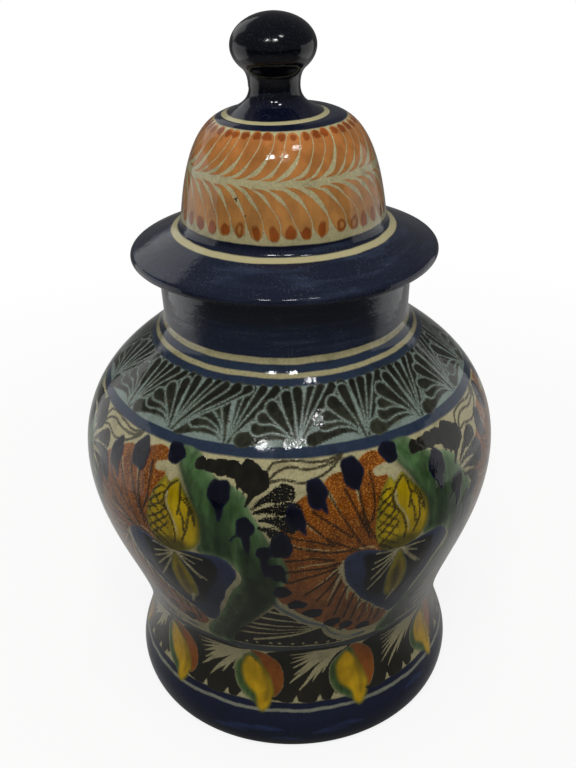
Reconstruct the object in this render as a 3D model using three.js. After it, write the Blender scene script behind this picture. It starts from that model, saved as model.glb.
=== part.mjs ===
// Majolica lidded jar: a baluster jar of thrown earthenware sections, luted one on another,
// and a bell-shaped lid with a hollow finial that drops into the mouth.
// Millimetres, +Z up, origin at the middle of the foot, on the surface the jar stands on.

import * as THREE from "three";

// Facets round the jar and its lid, and round the slim finial.
const jarFacets = 48;
const finialFacets = 32;

// Rows of facets up the outside of each curved piece. The inside has half as many.
const footRows = 8;
const bellyRows = 10;
const shoulderRows = 8;
const bellRows = 8;
const stemRows = 6;
const knobRows = 10;
const throatRows = 4;

// Luted joints are half laps: the lower piece has a tongue along its inside, and the upper
// piece sits on the shelf beside it. The slip fills the gap between their upright faces.
const tongueHeight = 3;
const slipGap = 0.3;

// Jar outline from the foot up. Each rise is counted from the station below it.
const jarWall = 8;
const footRadius = 97.3;
const footRise = 18;
const heelTuck = 9;
const waistTuck = 7.6;
const waistRise = 38;
const bellyRadius = 118;
const bellyRise = 106.5;
const neckRadius = 68;
const shoulderRise = 80;
const mouthRadius = 69.5;
const neckRise = 36.5;
const lipRounding = 1.5;

// How far the outline runs upright before it bends away, above and below each station.
const aboveFoot = 11;
const belowWaist = 20;
const aboveWaist = 31;
const belowBelly = 40;
const aboveBelly = 54;
const belowNeck = 16;

// Floor of the jar, and the shallow recess under it that leaves a foot ring.
const floorThickness = 10;
const footRecess = 2;
const footRingWidth = 13;

// Where the thrown sections meet, counted up from the waist and from the belly.
const waistToSeam = 17.5;
const bellyToSeam = 45;

// Lid: a brim whose rolled edge hangs below its seat, a collar that finds the mouth, and a bell.
// The brim's overhang and the seat's margin are counted outward from the mouth's radius.
const lidWall = 7;
const brimOverhang = 14;
const seatMargin = 2;
const brimDroop = 4;
const brimEdge = 6;
const brimRise = 9.5;
const filletRadius = 5;
const bellRadius = 55.3;
const bellRise = 54;
const bellUpright = 28;
const bellTaper = 3;
const crownRadius = 31;
const crownReach = 15;
const crownDrop = 5;
const collarDepth = 16;
const collarWall = 6;
const collarClearance = 2;

// Finial: a trumpet stem and a hollow flattened knob, luted on a little off the lid's centre.
// The throat's spread is in degrees of the knob's side.
const finialOffset = -2.9;
const stemRadius = 13.5;
const stemRise = 13.5;
const stemBore = 5;
const knobRadius = 22.2;
const knobHeight = 32;
const knobRise = 20;
const knobWall = 7;
const throatSpread = 12;

const baseRadius = footRadius - heelTuck;
const waistRadius = footRadius - waistTuck;
const waistLevel = footRise + waistRise;
const bellyLevel = waistLevel + bellyRise;
const neckLevel = bellyLevel + shoulderRise;
const mouthLevel = neckLevel + neckRise;
const floorLevel = footRecess + floorThickness;
const baseSeam = floorLevel - tongueHeight;
const footSeam = waistLevel + waistToSeam;
const bellySeam = bellyLevel + bellyToSeam;

const rimLevel = mouthLevel - brimDroop;
const bellSeam = rimLevel + brimEdge + brimRise + filletRadius;
const crownLevel = bellSeam + bellRise;
const stemLevel = crownLevel + stemRise;
const socketRise = tongueHeight + slipGap;

// Thickness of the tongue of a half lap in a wall.
function tongueOf(wall) {
  return (wall - slipGap) / 2;
}

// Evenly spaced values from one to another, both ends included.
function spaced(from, to, steps) {
  return Array.from({ length: steps + 1 }, (_, i) => from + ((to - from) * i) / steps);
}

// Points of an arc in the plane of a profile, in degrees counted up from straight outward.
function arc(centreRadius, centreLevel, radius, from, to, steps) {
  return spaced(from, to, steps).map((degrees) => {
    const angle = THREE.MathUtils.degToRad(degrees);
    return [centreRadius + radius * Math.cos(angle), centreLevel + radius * Math.sin(angle)];
  });
}

function curvePoints(curve, steps) {
  return curve.getPoints(steps).map((point) => [point.x, point.y]);
}

// Radius of a curve at a level, found by halving, because the level grows all along the curve.
function radiusOnCurve(curve, level) {
  const halvings = 50;
  let along = 0;
  for (let i = 1; i <= halvings; i += 1) {
    const step = 0.5 ** i;
    if (curve.getPoint(along + step).y < level) along += step;
  }
  return curve.getPoint(along).x;
}

// A stretch of outline that leaves its lower station upright and reaches the upper one upright.
function uprightStretch(lowRadius, low, lowRun, highRadius, high, highRun) {
  return new THREE.CubicBezierCurve(
    new THREE.Vector2(lowRadius, low),
    new THREE.Vector2(lowRadius, low + lowRun),
    new THREE.Vector2(highRadius, high - highRun),
    new THREE.Vector2(highRadius, high),
  );
}

const stretches = [
  uprightStretch(footRadius, footRise, aboveFoot, waistRadius, waistLevel, belowWaist),
  uprightStretch(waistRadius, waistLevel, aboveWaist, bellyRadius, bellyLevel, belowBelly),
  uprightStretch(bellyRadius, bellyLevel, aboveBelly, neckRadius, neckLevel, belowNeck),
];

// Outer radius of the jar: a rounded heel, the three stretches, and a neck that opens slightly.
function outerRadius(level) {
  if (level <= footRise) {
    const drop = 1 - level / footRise;
    return baseRadius + heelTuck * Math.sqrt(1 - drop * drop);
  }
  if (level >= neckLevel) {
    return neckRadius + ((mouthRadius - neckRadius) * (level - neckLevel)) / neckRise;
  }
  return radiusOnCurve(stretches.find((curve) => level <= curve.v3.y), level);
}

// Inner radius: the wall is as thick square to its surface everywhere, so it widens on a slope.
function innerRadius(level) {
  const step = 0.05;
  const slope = (outerRadius(level + step) - outerRadius(level - step)) / (2 * step);
  return outerRadius(level) - jarWall * Math.hypot(1, slope);
}

function tongueRadius(level) {
  return innerRadius(level) + tongueOf(jarWall);
}

// One solid turned about Z. Its profile runs up the outside, and starts and ends on the axis
// or closes on itself.
function turned(name, profile, material, facets) {
  const points = profile.map(([radius, level]) => new THREE.Vector2(radius, level));
  if (points[0].x > 0) points.push(points[0].clone());
  const geometry = new THREE.LatheGeometry(points, facets).rotateX(Math.PI / 2);
  const mesh = new THREE.Mesh(geometry, material);
  mesh.name = name;
  return mesh;
}

function fired(color, roughness) {
  return new THREE.MeshStandardMaterial({ color, roughness, metalness: 0 });
}

const cobaltGlaze = fired(0x1b2438, 0.2);
const blackCobaltGlaze = fired(0x07080f, 0.12);
const creamGlaze = fired(0xc3b98d, 0.25);
const greyBlueGlaze = fired(0x75827a, 0.3);
const orangeGlaze = fired(0xb0743b, 0.25);
const bareClay = fired(0xa87854, 0.85);

// Floor: a stepped disc on a foot ring. Its raised middle is the tongue the foot wall laps over.
function baseSlab() {
  const ringInside = baseRadius - footRingWidth;
  const profile = [
    [0, footRecess],
    [ringInside - footRecess, footRecess],
    [ringInside, 0],
    ...spaced(0, baseSeam, footRows / 2).map((level) => [outerRadius(level), level]),
    [tongueRadius(baseSeam), baseSeam],
    [tongueRadius(baseSeam), floorLevel],
    [0, floorLevel],
  ];
  return turned("base_slab", profile, bareClay, jarFacets);
}

// The step cut inside the foot of a piece of the jar, where it laps over the tongue below.
function socket(seam) {
  const lap = tongueRadius(seam) + slipGap;
  return [
    [innerRadius(seam + socketRise), seam + socketRise],
    [lap, seam + socketRise],
    [lap, seam],
  ];
}

// A ring of the jar's wall through the given levels, with a socket at its foot and a tongue on
// top. The lining follows every second level.
function wallSection(name, levels, material) {
  const high = levels.at(-1);
  const tongueTop = high + tongueHeight;
  const lining = [...levels.slice(2, -1).filter((_, i) => i % 2 === 0), tongueTop].reverse();
  const profile = [
    ...levels.map((level) => [outerRadius(level), level]),
    [tongueRadius(high), high],
    [tongueRadius(high), tongueTop],
    ...lining.map((level) => [innerRadius(level), level]),
    ...socket(levels[0]),
  ];
  return turned(name, profile, material, jarFacets);
}

// Neck: a plain ring whose flat lip carries the lid, with both edges of the lip rounded.
function neckCollar() {
  const edgeLevel = mouthLevel - lipRounding;
  const mouthBore = mouthRadius - jarWall;
  const profile = [
    [neckRadius, neckLevel],
    ...arc(mouthRadius - lipRounding, edgeLevel, lipRounding, 0, 90, 3),
    ...arc(mouthBore + lipRounding, edgeLevel, lipRounding, 90, 180, 3),
    ...socket(neckLevel),
  ];
  return turned("neck_collar", profile, cobaltGlaze, jarFacets);
}

const bellBore = bellRadius - lidWall;
const bellTongue = bellBore + tongueOf(lidWall);
const collarFoot = mouthLevel - collarDepth;
const collarRadius = Math.min(innerRadius(collarFoot), innerRadius(mouthLevel)) - collarClearance;
const collarBore = collarRadius - collarWall;
const collarTongue = collarBore + tongueOf(collarWall);

// Slope, in degrees down and outward, of the straight line that touches two circles of a
// profile: the first on its lower side, and the second on its upper side, or on its lower side
// where that one's radius is given as negative. A circle of no radius is a point on the line.
function tangentSlope([radius, level, round], [nextRadius, nextLevel, nextRound]) {
  const [out, down] = [nextRadius - radius, level - nextLevel];
  const turn = Math.asin((round + nextRound) / Math.hypot(out, down));
  return THREE.MathUtils.radToDeg(Math.atan2(down, out) - turn);
}

// Brim: a flat seat that rests on the mouth, an underside that slopes down to the rolled edge,
// and a top that climbs to the fillet below the bell. A rebate below takes the collar's tongue,
// and a tongue above enters the bell.
function lidBrim() {
  const roll = brimEdge / 2;
  const seat = [mouthRadius + seatMargin, mouthLevel];
  const edge = [mouthRadius + brimOverhang - roll, rimLevel + roll];
  const fillet = [bellRadius + filletRadius, bellSeam];
  const underSlope = tangentSlope([...seat, 0], [...edge, -roll]);
  const topSlope = tangentSlope([...fillet, filletRadius], [...edge, roll]);
  const profile = [
    [collarTongue + slipGap, mouthLevel],
    seat,
    ...arc(...edge, roll, -90 - underSlope, 90 - topSlope, 6),
    ...arc(...fillet, filletRadius, 270 - topSlope, 180, 3),
    [bellTongue, bellSeam],
    [bellTongue, bellSeam + tongueHeight],
    [bellBore, bellSeam + tongueHeight],
    [bellBore, mouthLevel + socketRise],
    [collarTongue + slipGap, mouthLevel + socketRise],
  ];
  return turned("lid_brim", profile, cobaltGlaze, jarFacets);
}

// Collar: the ring below the brim that keeps the lid centred. It clears the neck's bore at
// both its ends, whichever way the neck leans.
function locatingCollar() {
  const profile = [
    [collarRadius, collarFoot],
    [collarRadius, mouthLevel],
    [collarTongue, mouthLevel],
    [collarTongue, mouthLevel + tongueHeight],
    [collarBore, mouthLevel + tongueHeight],
    [collarBore, collarFoot],
  ];
  return turned("locating_collar", profile, bareClay, jarFacets);
}

// Side of the bell, or its lining when it is set in by the wall: upright, then over to the crown.
function bellCurve(start, inset) {
  const radius = bellRadius - inset;
  return new THREE.CubicBezierCurve(
    new THREE.Vector2(radius, start),
    new THREE.Vector2(radius - bellTaper, bellSeam + bellUpright - inset),
    new THREE.Vector2(crownRadius + crownReach - inset, crownLevel - crownDrop - inset),
    new THREE.Vector2(crownRadius - inset, crownLevel - inset),
  );
}

// Bell: its crown is a flat seat for the finial, open in the middle to vent the knob.
function lidBell() {
  const socketTop = bellSeam + socketRise;
  const vent = stemBore + Math.abs(finialOffset);
  const profile = [
    ...curvePoints(bellCurve(bellSeam, 0), bellRows),
    [vent, crownLevel],
    [vent, crownLevel - lidWall],
    ...curvePoints(bellCurve(socketTop, lidWall), bellRows / 2).reverse(),
    [bellTongue + slipGap, socketTop],
    [bellTongue + slipGap, bellSeam],
  ];
  return turned("lid_bell", profile, orangeGlaze, jarFacets);
}

const stemTongue = stemBore + tongueOf(stemRadius - stemBore);

// Stem: a trumpet that spreads to the edge of the crown's seat, bored through for the vent.
function finialStem() {
  const spread = crownRadius - Math.abs(finialOffset) - stemRadius;
  const flare = new THREE.CubicBezierCurve(
    new THREE.Vector2(stemRadius + spread, crownLevel),
    new THREE.Vector2(stemRadius + spread / 3, crownLevel + stemRise / 4),
    new THREE.Vector2(stemRadius, crownLevel + stemRise / 2),
    new THREE.Vector2(stemRadius, stemLevel),
  );
  const profile = [
    ...curvePoints(flare, stemRows),
    [stemTongue, stemLevel],
    [stemTongue, stemLevel + tongueHeight],
    [stemBore, stemLevel + tongueHeight],
    [stemBore, crownLevel],
  ];
  return turned("finial_stem", profile, blackCobaltGlaze, finialFacets);
}

// Point of an upright ellipse about the knob's middle, by its angle from the lowest point.
function ellipsePoint(radius, halfHeight, angle) {
  const level = stemLevel + knobRise - halfHeight * Math.cos(angle);
  return [angle === Math.PI ? 0 : radius * Math.sin(angle), level];
}

// Outside of the knob: the stem's radius runs up and out in a curve that meets the ball's side.
function knobOutside() {
  const halfHeight = knobHeight / 2;
  const blend = Math.asin(stemRadius / knobRadius) + THREE.MathUtils.degToRad(throatSpread);
  const [radius, level] = ellipsePoint(knobRadius, halfHeight, blend);
  const lean = (halfHeight * Math.tan(blend)) / knobRadius;
  const throat = new THREE.QuadraticBezierCurve(
    new THREE.Vector2(stemRadius, stemLevel),
    new THREE.Vector2(stemRadius, level - (radius - stemRadius) * lean),
    new THREE.Vector2(radius, level),
  );
  const ball = spaced(blend, Math.PI, knobRows).slice(1);
  return [
    ...curvePoints(throat, throatRows),
    ...ball.map((angle) => ellipsePoint(knobRadius, halfHeight, angle)),
  ];
}

// Knob: a hollow flattened ball on a short throat. The stem's tongue enters its open foot.
function finialKnob() {
  const socketTop = stemLevel + socketRise;
  const hollowRadius = knobRadius - knobWall;
  const hollow = spaced(Math.PI, Math.asin(stemBore / hollowRadius), knobRows / 2);
  const profile = [
    ...hollow.map((angle) => ellipsePoint(hollowRadius, knobHeight / 2 - knobWall, angle)),
    [stemBore, socketTop],
    [stemTongue + slipGap, socketTop],
    [stemTongue + slipGap, stemLevel],
    ...knobOutside(),
  ];
  return turned("finial_knob", profile, blackCobaltGlaze, finialFacets);
}

const footLevels = spaced(baseSeam, footSeam, footRows);
const bellyLevels = [
  ...spaced(footSeam, bellyLevel, bellyRows / 2),
  ...spaced(bellyLevel, bellySeam, bellyRows / 2).slice(1),
];
const shoulderLevels = spaced(bellySeam, neckLevel, shoulderRows);

const jar = new THREE.Group();
jar.add(
  baseSlab(),
  wallSection("foot_wall", footLevels, cobaltGlaze),
  wallSection("belly_wall", bellyLevels, creamGlaze),
  wallSection("shoulder_wall", shoulderLevels, greyBlueGlaze),
  neckCollar(),
);

const finial = new THREE.Group();
finial.add(finialStem(), finialKnob());
finial.position.x = finialOffset;

const lid = new THREE.Group();
lid.add(lidBrim(), locatingCollar(), lidBell(), finial);

const liddedJar = new THREE.Group();
liddedJar.add(jar, lid);

export default liddedJar;
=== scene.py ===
"""Majolica lidded jar, dressed for looks: thrown and glazed pieces, painted bands, plain studio.

Lengths are millimetres until a mesh is made, and metres in the mesh and in the materials. A turn
is an angle round the axis, counted to the right from the side that faces the viewer (-Y). A climb
is a length up the glazed outside, counted on the jar from just above the edge of the foot ring, and
on the lid from the foot of the bell.
"""

import logging
import math
from collections.abc import Callable, Iterable, Sequence
from dataclasses import dataclass, field
from enum import Enum
from functools import cached_property

import bpy
import numpy as np
from mathutils import Matrix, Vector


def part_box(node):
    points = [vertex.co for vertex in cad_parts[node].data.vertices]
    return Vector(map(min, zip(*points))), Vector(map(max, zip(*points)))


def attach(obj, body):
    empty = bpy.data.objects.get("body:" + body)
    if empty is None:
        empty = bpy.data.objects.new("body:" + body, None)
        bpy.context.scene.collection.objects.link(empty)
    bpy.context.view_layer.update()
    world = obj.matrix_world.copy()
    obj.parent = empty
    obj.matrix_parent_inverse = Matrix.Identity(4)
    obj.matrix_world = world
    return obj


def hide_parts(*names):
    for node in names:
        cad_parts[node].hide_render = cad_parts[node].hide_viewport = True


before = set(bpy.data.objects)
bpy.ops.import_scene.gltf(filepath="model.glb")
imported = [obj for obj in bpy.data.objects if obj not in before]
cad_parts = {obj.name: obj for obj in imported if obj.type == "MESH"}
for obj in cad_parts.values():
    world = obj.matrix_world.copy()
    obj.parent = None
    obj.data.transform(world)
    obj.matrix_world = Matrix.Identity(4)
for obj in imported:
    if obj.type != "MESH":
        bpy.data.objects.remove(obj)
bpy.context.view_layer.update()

LOG = logging.getLogger("lidded_jar")
MM = 0.001
FAR = -9.0  # depth where nothing is painted, in millimetres
MARGIN = 7.0  # how far round a mark its depths are worked out, in millimetres
CORNER = 0.5  # turn of an outline, in radians, from which on its edge is sharp
STEP = 0.2  # half the height over which a slope is taken, in millimetres
TINY = 1e-9  # keeps a division from having nothing below
GLAZE_IOR = 1.5
Array = np.ndarray
Point = tuple[float, float]
Spot = tuple[float, float, float]
Color = tuple[float, float, float, float]
Socket = bpy.types.NodeSocket
WHITE = (1.0, 1.0, 1.0, 1.0)


def srgb(red: int, green: int, blue: int) -> Color:
    """Turn a colour as a screen shows it, 0 to 255, into the linear values of a socket."""
    shown = [part / 255 for part in (red, green, blue)]
    return (*(s / 12.92 if s <= 0.04045 else ((s + 0.055) / 1.055) ** 2.4 for s in shown), 1.0)


def extent(node: str) -> Spot:
    """Return how far right a node of the frame reaches, and its lowest and highest level."""
    low, high = (np.array(corner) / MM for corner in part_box(node))
    return high[0], low[2], high[2]


def bezier(*points: Point, steps: int = 160) -> Array:
    """Points of a Bezier curve of any degree.

    The curve is the sum of its control points, each weighted by its Bernstein polynomial in t.

    Args:
        points: Control points.
        steps: Number of stretches between t = 0 and t = 1.

    Returns:
        Array of steps + 1 points.
    """
    t = np.linspace(0.0, 1.0, steps + 1)[:, None]
    degree = len(points) - 1
    curve = np.zeros((steps + 1, 2))
    for k, point in enumerate(points):
        curve += math.comb(degree, k) * (1 - t) ** (degree - k) * t**k * np.array(point, float)
    return curve


def arc(center: Point, radius: float, start: float, end: float, steps: int) -> Array:
    """Points of an arc: centre plus radius times cosine and sine of degrees up from outward."""
    angle = np.radians(np.linspace(start, end, steps + 1))
    return np.stack([center[0] + radius * np.cos(angle), center[1] + radius * np.sin(angle)], -1)


def spline(points: Iterable[Sequence[float]], steps: int = 6, closed: bool = False) -> Array:
    """Points of a smooth curve through the given ones, with any number of coordinates.

    It is a Catmull-Rom spline: a cubic between neighbours, whose slope at each point is half the
    step between the points on both sides of it.

    Args:
        points: Points to pass through.
        steps: Number of stretches between two neighbours.
        closed: Whether the last point joins the first.

    Returns:
        Array of points; a closed curve doesn't repeat its first one.
    """
    p = np.array(list(points), float)
    if closed:
        p = np.concatenate([p[-1:], p, p[:2]])
    else:
        p = np.concatenate([2 * p[:1] - p[1:2], p, 2 * p[-1:] - p[-2:-1]])
    a, b, c, d = (p[k : len(p) - 3 + k, None] for k in range(4))
    t = np.arange(steps)[None, :, None] / steps
    curve = b + (c - a) * t / 2 + (2 * a - 5 * b + 4 * c - d) * t**2 / 2
    curve = (curve + (3 * b - a - 3 * c + d) * t**3 / 2).reshape(-1, p.shape[1])
    return curve if closed else np.concatenate([curve, p[-2:-1]])


def tangent_fall(high: Sequence[float], low: Sequence[float]) -> float:
    """Return the fall, in degrees below level, of the line that touches two circles.

    The line has them on opposite sides of it, or on the same one if the lower radius is negative:
    it is the line of centres, turned by the arc sine of the radii's sum over its length.

    Args:
        high: Radius and level of the upper centre, and the circle's own radius.
        low: The same of the lower circle.

    Returns:
        The fall.
    """
    out, down = low[0] - high[0], high[1] - low[1]
    turn = math.asin((high[2] + low[2]) / math.hypot(out, down))
    return math.degrees(math.atan2(down, out) - turn)


def lengths_along(points: Array) -> Array:
    """Return the length from the first point to each point, measured along the chain."""
    return np.r_[0.0, np.cumsum(np.hypot(*np.diff(points, axis=0).T))]


def respaced(points: Array, spacing: float) -> Array:
    """Walk a chain of points again at an even spacing, both ends kept.

    Args:
        points: The chain.
        spacing: Distance between its new points.

    Returns:
        The new points.
    """
    length = lengths_along(points)
    at = np.linspace(0.0, length[-1], max(2, int(round(length[-1] / spacing)) + 1))
    return np.stack([np.interp(at, length, points[:, k]) for k in (0, 1)], -1)


class Coat(Enum):
    """What a stretch of a turned piece's surface wears."""

    PAINTED = 0
    LINING = 1
    CLAY = 2


class Pigment(Enum):
    """The painter's colours, in the order in which they go on."""

    SKY = "sky"
    OCHRE = "ochre"
    ORANGE = "orange"
    GREEN = "green"
    YELLOW = "yellow"
    SHADE = "shade"
    LINE = "line"
    COBALT = "cobalt"
    NIGHT = "night"
    PLUME = "plume"
    DARK = "dark"
    DAB = "dab"
    CREAM = "cream"


@dataclass
class Run:
    """A stretch of a turned piece's outline: its coat, and radius and level of its points."""

    coat: Coat
    points: Array | Sequence[Point]


@dataclass
class Sway:
    """How far a hand-thrown wall strays inward from the true circle.

    The stray is the sum of a few waves round the piece, whose phases drift with the level, and it
    is never outward, so that the piece stays inside its true form. A wave is given by its share,
    how often it goes round, and how fast it drifts.
    """

    depth: float = 0.5
    drift: float = 0.011
    phase: float = 0.4
    waves: tuple[Spot, ...] = ((0.45, 2, 1), (0.3, 3, -1.7), (0.15, 5, 2.9), (0.1, 7, -4.1))

    def offset(self, turn: Array, level: Array) -> Array:
        """Return the change of radius at each turn in radians and level, both broadcast.

        Args:
            turn: Turns, in radians.
            level: Levels.

        Returns:
            The changes, never above 0.
        """
        drifting = self.drift * level + self.phase
        waves = sum(part * np.cos(n * turn + pace * drifting) for part, n, pace in self.waves)
        return self.depth * (waves - 1.0) / 2.0


@dataclass
class TurnedPiece:
    """A solid of revolution that strays a little from round, as thrown pots do.

    A point is (R sin turn + lean, -R cos turn, level + warp) with R its radius plus the sway
    there. The outline runs up the outside, and starts and ends on the axis or closes on itself.
    """

    node: str
    runs: Sequence[Run]
    columns: int
    sway: Sway
    first_climb: float = 0.0
    lean: float = 0.0
    warp: Callable[[Array, Array], Array] | None = None
    rings: Array = field(init=False)
    row_coat: Array = field(init=False)

    def __post_init__(self) -> None:
        """Join the runs into one chain of rings, and note the coat of each row between them."""
        points = [np.array(run.points, float) for run in self.runs]
        self.rings = np.concatenate([part[:-1] for part in points])
        if points[0][0, 0] == 0.0:
            self.rings = np.concatenate([self.rings, points[-1][-1:]])
        coats = [np.full(len(part) - 1, run.coat.value) for part, run in zip(points, self.runs)]
        self.row_coat = np.concatenate(coats)

    @cached_property
    def turns(self) -> Array:
        """Turn of each column, in radians."""
        return np.arange(self.columns) * (2 * np.pi / self.columns)

    @cached_property
    def climbs(self) -> Array:
        """Length along the outline at each ring, and once more at the first one."""
        return self.first_climb + lengths_along(np.concatenate([self.rings, self.rings[:1]]))

    @cached_property
    def sharp(self) -> Array:
        """Whether the outline turns a corner at each ring."""
        step = np.roll(self.rings, -1, axis=0) - self.rings
        heading = np.arctan2(step[:, 1], step[:, 0])
        change = heading - np.roll(heading, 1)
        return np.abs((change + np.pi) % (2 * np.pi) - np.pi) > CORNER

    def points(self) -> Array:
        """Return every ring's points, in metres, as an array of ring, column and axis.

        Returns:
            The array.
        """
        radius, level = self.rings[:, 0, None], self.rings[:, 1, None]
        swayed = np.where(radius > 0, radius + self.sway.offset(self.turns, level), 0.0)
        rise = level + (self.warp(self.turns, radius) if self.warp else 0.0) + 0.0 * swayed
        across = swayed * np.sin(self.turns) + self.lean
        return MM * np.stack([across, -swayed * np.cos(self.turns), rise], -1)

    def build(self, materials: dict[Coat, bpy.types.Material]) -> bpy.types.Object:
        """Make the mesh object: one vertex at each pole, and sharp rings at the outline's corners.

        Args:
            materials: The material of each coat that the piece wears.

        Returns:
            The object, linked to the scene. Its UV map holds the turn, of 1, and the climb in
            metres.
        """
        count = len(self.rings)
        pole = self.rings[:, 0] == 0.0
        sizes = np.where(pole, 1, self.columns)
        first = np.r_[0, np.cumsum(sizes)[:-1]]
        steps = np.where(pole[:, None], 0, np.arange(self.columns + 1) % self.columns)
        index = first[:, None] + steps
        low = np.arange(len(self.row_coat))
        high = (low + 1) % count
        corners = np.stack([index[low, :-1], index[low, 1:], index[high, 1:], index[high, :-1]], -1)
        turn = np.arange(self.columns + 1) / self.columns
        u = np.stack([turn[:-1], turn[1:], turn[1:], turn[:-1]], -1)
        climb = self.climbs * MM
        v = np.stack([climb[low], climb[low], climb[low + 1], climb[low + 1]], -1)[:, None]
        uv = np.stack(np.broadcast_arrays(u[None], v), -1)
        whole = ~(pole[low] | pole[high])
        faces = corners[whole].reshape(-1, 4).tolist()
        maps = [uv[whole].reshape(-1, 2)]
        coats = [np.repeat(self.row_coat[whole], self.columns)]
        for row in np.flatnonzero(~whole):
            used = [0, 2, 3] if pole[low[row]] else [0, 1, 2]
            faces += corners[row][:, used].tolist()
            maps.append(uv[row][:, used].reshape(-1, 2))
            coats.append(np.full(self.columns, self.row_coat[row]))
        keep = np.where(pole[:, None], np.arange(self.columns) == 0, True)
        mesh = bpy.data.meshes.new(f"thrown_{self.node}")
        mesh.from_pydata(self.points()[keep].tolist(), [], faces)
        mesh.uv_layers.new(name="band").uv.foreach_set("vector", np.concatenate(maps).ravel())
        worn = sorted({int(coat) for coat in self.row_coat})
        for coat in worn:
            mesh.materials.append(materials[Coat(coat)])
        slots = np.searchsorted(worn, np.concatenate(coats)).astype(np.int32)
        mesh.polygons.foreach_set("material_index", slots)
        mesh.polygons.foreach_set("use_smooth", np.ones(len(faces), bool))
        self._sharpen(mesh, np.repeat(np.arange(count), sizes))
        mesh.update()
        piece = bpy.data.objects.new(mesh.name, mesh)
        bpy.context.scene.collection.objects.link(piece)
        return piece

    def _sharpen(self, mesh: bpy.types.Mesh, ring_of: Array) -> None:
        """Mark the edges that run round the sharp rings, so that the glaze breaks there.

        Args:
            mesh: The piece's mesh.
            ring_of: Number of the ring that each vertex is on.
        """
        ends = np.empty(2 * len(mesh.edges), np.int32)
        mesh.edges.foreach_get("vertices", ends)
        rings = ring_of[ends.reshape(-1, 2)]
        sharp = (rings[:, 0] == rings[:, 1]) & self.sharp[rings[:, 0]]
        mesh.attributes.new("sharp_edge", "BOOLEAN", "EDGE").data.foreach_set("value", sharp)

    def paint(self, piece: bpy.types.Object, canvas: "Canvas") -> None:
        """Store the canvas's fields on the piece's vertices; the rest of the piece stays bare.

        Args:
            piece: The piece's object.
            canvas: Its painted outside.
        """
        for pigment, depths in canvas.fields.items():
            values = np.full((len(self.rings), self.columns), FAR, np.float32)
            values[: len(depths)] = depths
            stored = piece.data.attributes.new(pigment.value, "FLOAT", "POINT")
            stored.data.foreach_set("value", values.ravel())


class Mark:
    """Something that a brush leaves, in millimetres across and up."""

    def box(self) -> tuple[Array, Array]:
        """Return the lowest and highest corner of the mark."""
        raise NotImplementedError

    def depth(self, x: Array, s: Array) -> Array:
        """Return how deep inside the mark places are.

        Args:
            x: The places across.
            s: The places up.

        Returns:
            The depths, negative outside the mark.
        """
        raise NotImplementedError


def beside(x: Array, s: Array, starts: Array, steps: Array) -> tuple[Array, Array]:
    """Find the nearest place on each stretch of a chain, by projecting on it and clipping.

    Args:
        x: Places across.
        s: Places up.
        starts: Place across and up of the start of each stretch, as two rows.
        steps: The way from there to the end of each stretch, as two rows.

    Returns:
        Share of each stretch up to the nearest place, and the distance to it.
    """
    (x0, s0), (dx, ds) = starts, steps
    off_x, off_s = x[..., None] - x0, s[..., None] - s0
    along = np.clip((off_x * dx + off_s * ds) / (dx * dx + ds * ds + TINY), 0.0, 1.0)
    return along, np.hypot(off_x - along * dx, off_s - along * ds)


@dataclass
class Stroke(Mark):
    """A brush stroke: a path whose points hold their place across and up, and a half width.

    The depth is the half width of the brush less the distance to it, for the stretch of the path
    where that is most.
    """

    points: Array

    @classmethod
    def through(cls, *points: Sequence[float], steps: int = 5) -> "Stroke":
        """Draw a stroke along a smooth path through a few points."""
        return cls(spline(points, steps))

    def box(self) -> tuple[Array, Array]:
        """Return the lowest and highest corner of the stroke."""
        path, reach = self.points[:, :2], self.points[:, 2:].max()
        return path.min(0) - reach, path.max(0) + reach

    def depth(self, x: Array, s: Array) -> Array:
        """Return how deep inside the stroke each place is: see Mark."""
        starts, steps = self.points[:-1].T, np.diff(self.points, axis=0).T
        along, gap = beside(x, s, starts[:2], steps[:2])
        return (starts[2] + along * steps[2] - gap).max(-1)


@dataclass
class Patch(Mark):
    """A wash inside a closed outline. The depth is the distance to the outline."""

    points: Array

    @classmethod
    def inside(cls, *points: Point, steps: int = 5) -> "Patch":
        """Fill a smooth closed curve through a few points."""
        return cls(spline(points, steps, closed=True))

    def box(self) -> tuple[Array, Array]:
        """Return the lowest and highest corner of the patch."""
        return self.points.min(0), self.points.max(0)

    def depth(self, x: Array, s: Array) -> Array:
        """Return how deep inside the patch each place is: see Mark.

        A place is inside if a level line to its right crosses the outline an odd number of times.
        """
        starts, ends = self.points.T, np.roll(self.points, -1, axis=0).T
        (x0, s0), (dx, ds) = starts, ends - starts
        gap = beside(x, s, starts, ends - starts)[1].min(-1)
        x, s = x[..., None], s[..., None]
        spans = (s0 > s) != (ends[1] > s)
        rightward = x - x0 < dx * (s - s0) / np.where(ds == 0, TINY, ds)
        return np.where((spans & rightward).sum(-1) % 2 == 1, gap, -gap)


@dataclass
class Dab(Mark):
    """A touch of the full brush: an oval with a slightly ragged rim.

    The depth falls from the lesser half size at the middle to 0 on the rim, whose distance from
    the middle varies as two waves round it.
    """

    x: float
    s: float
    half_width: float
    half_height: float
    lean: float = 0.0
    ragged: float = 0.0

    def box(self) -> tuple[Array, Array]:
        """Return the lowest and highest corner of a square that holds the oval."""
        reach = 1.2 * max(self.half_width, self.half_height)
        return np.array([self.x, self.s]) - reach, np.array([self.x, self.s]) + reach

    def depth(self, x: Array, s: Array) -> Array:
        """Return how deep inside the oval each place is: see Mark."""
        cosine, sine = math.cos(self.lean), math.sin(self.lean)
        across = (cosine * (x - self.x) - sine * (s - self.s)) / self.half_width
        up = (sine * (x - self.x) + cosine * (s - self.s)) / self.half_height
        angle = np.arctan2(up, across)
        rim = 1 + 0.07 * np.cos(3 * angle + self.ragged) + 0.05 * np.cos(5 * angle - self.ragged)
        return (rim - np.hypot(across, up)) * min(self.half_width, self.half_height)


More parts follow.
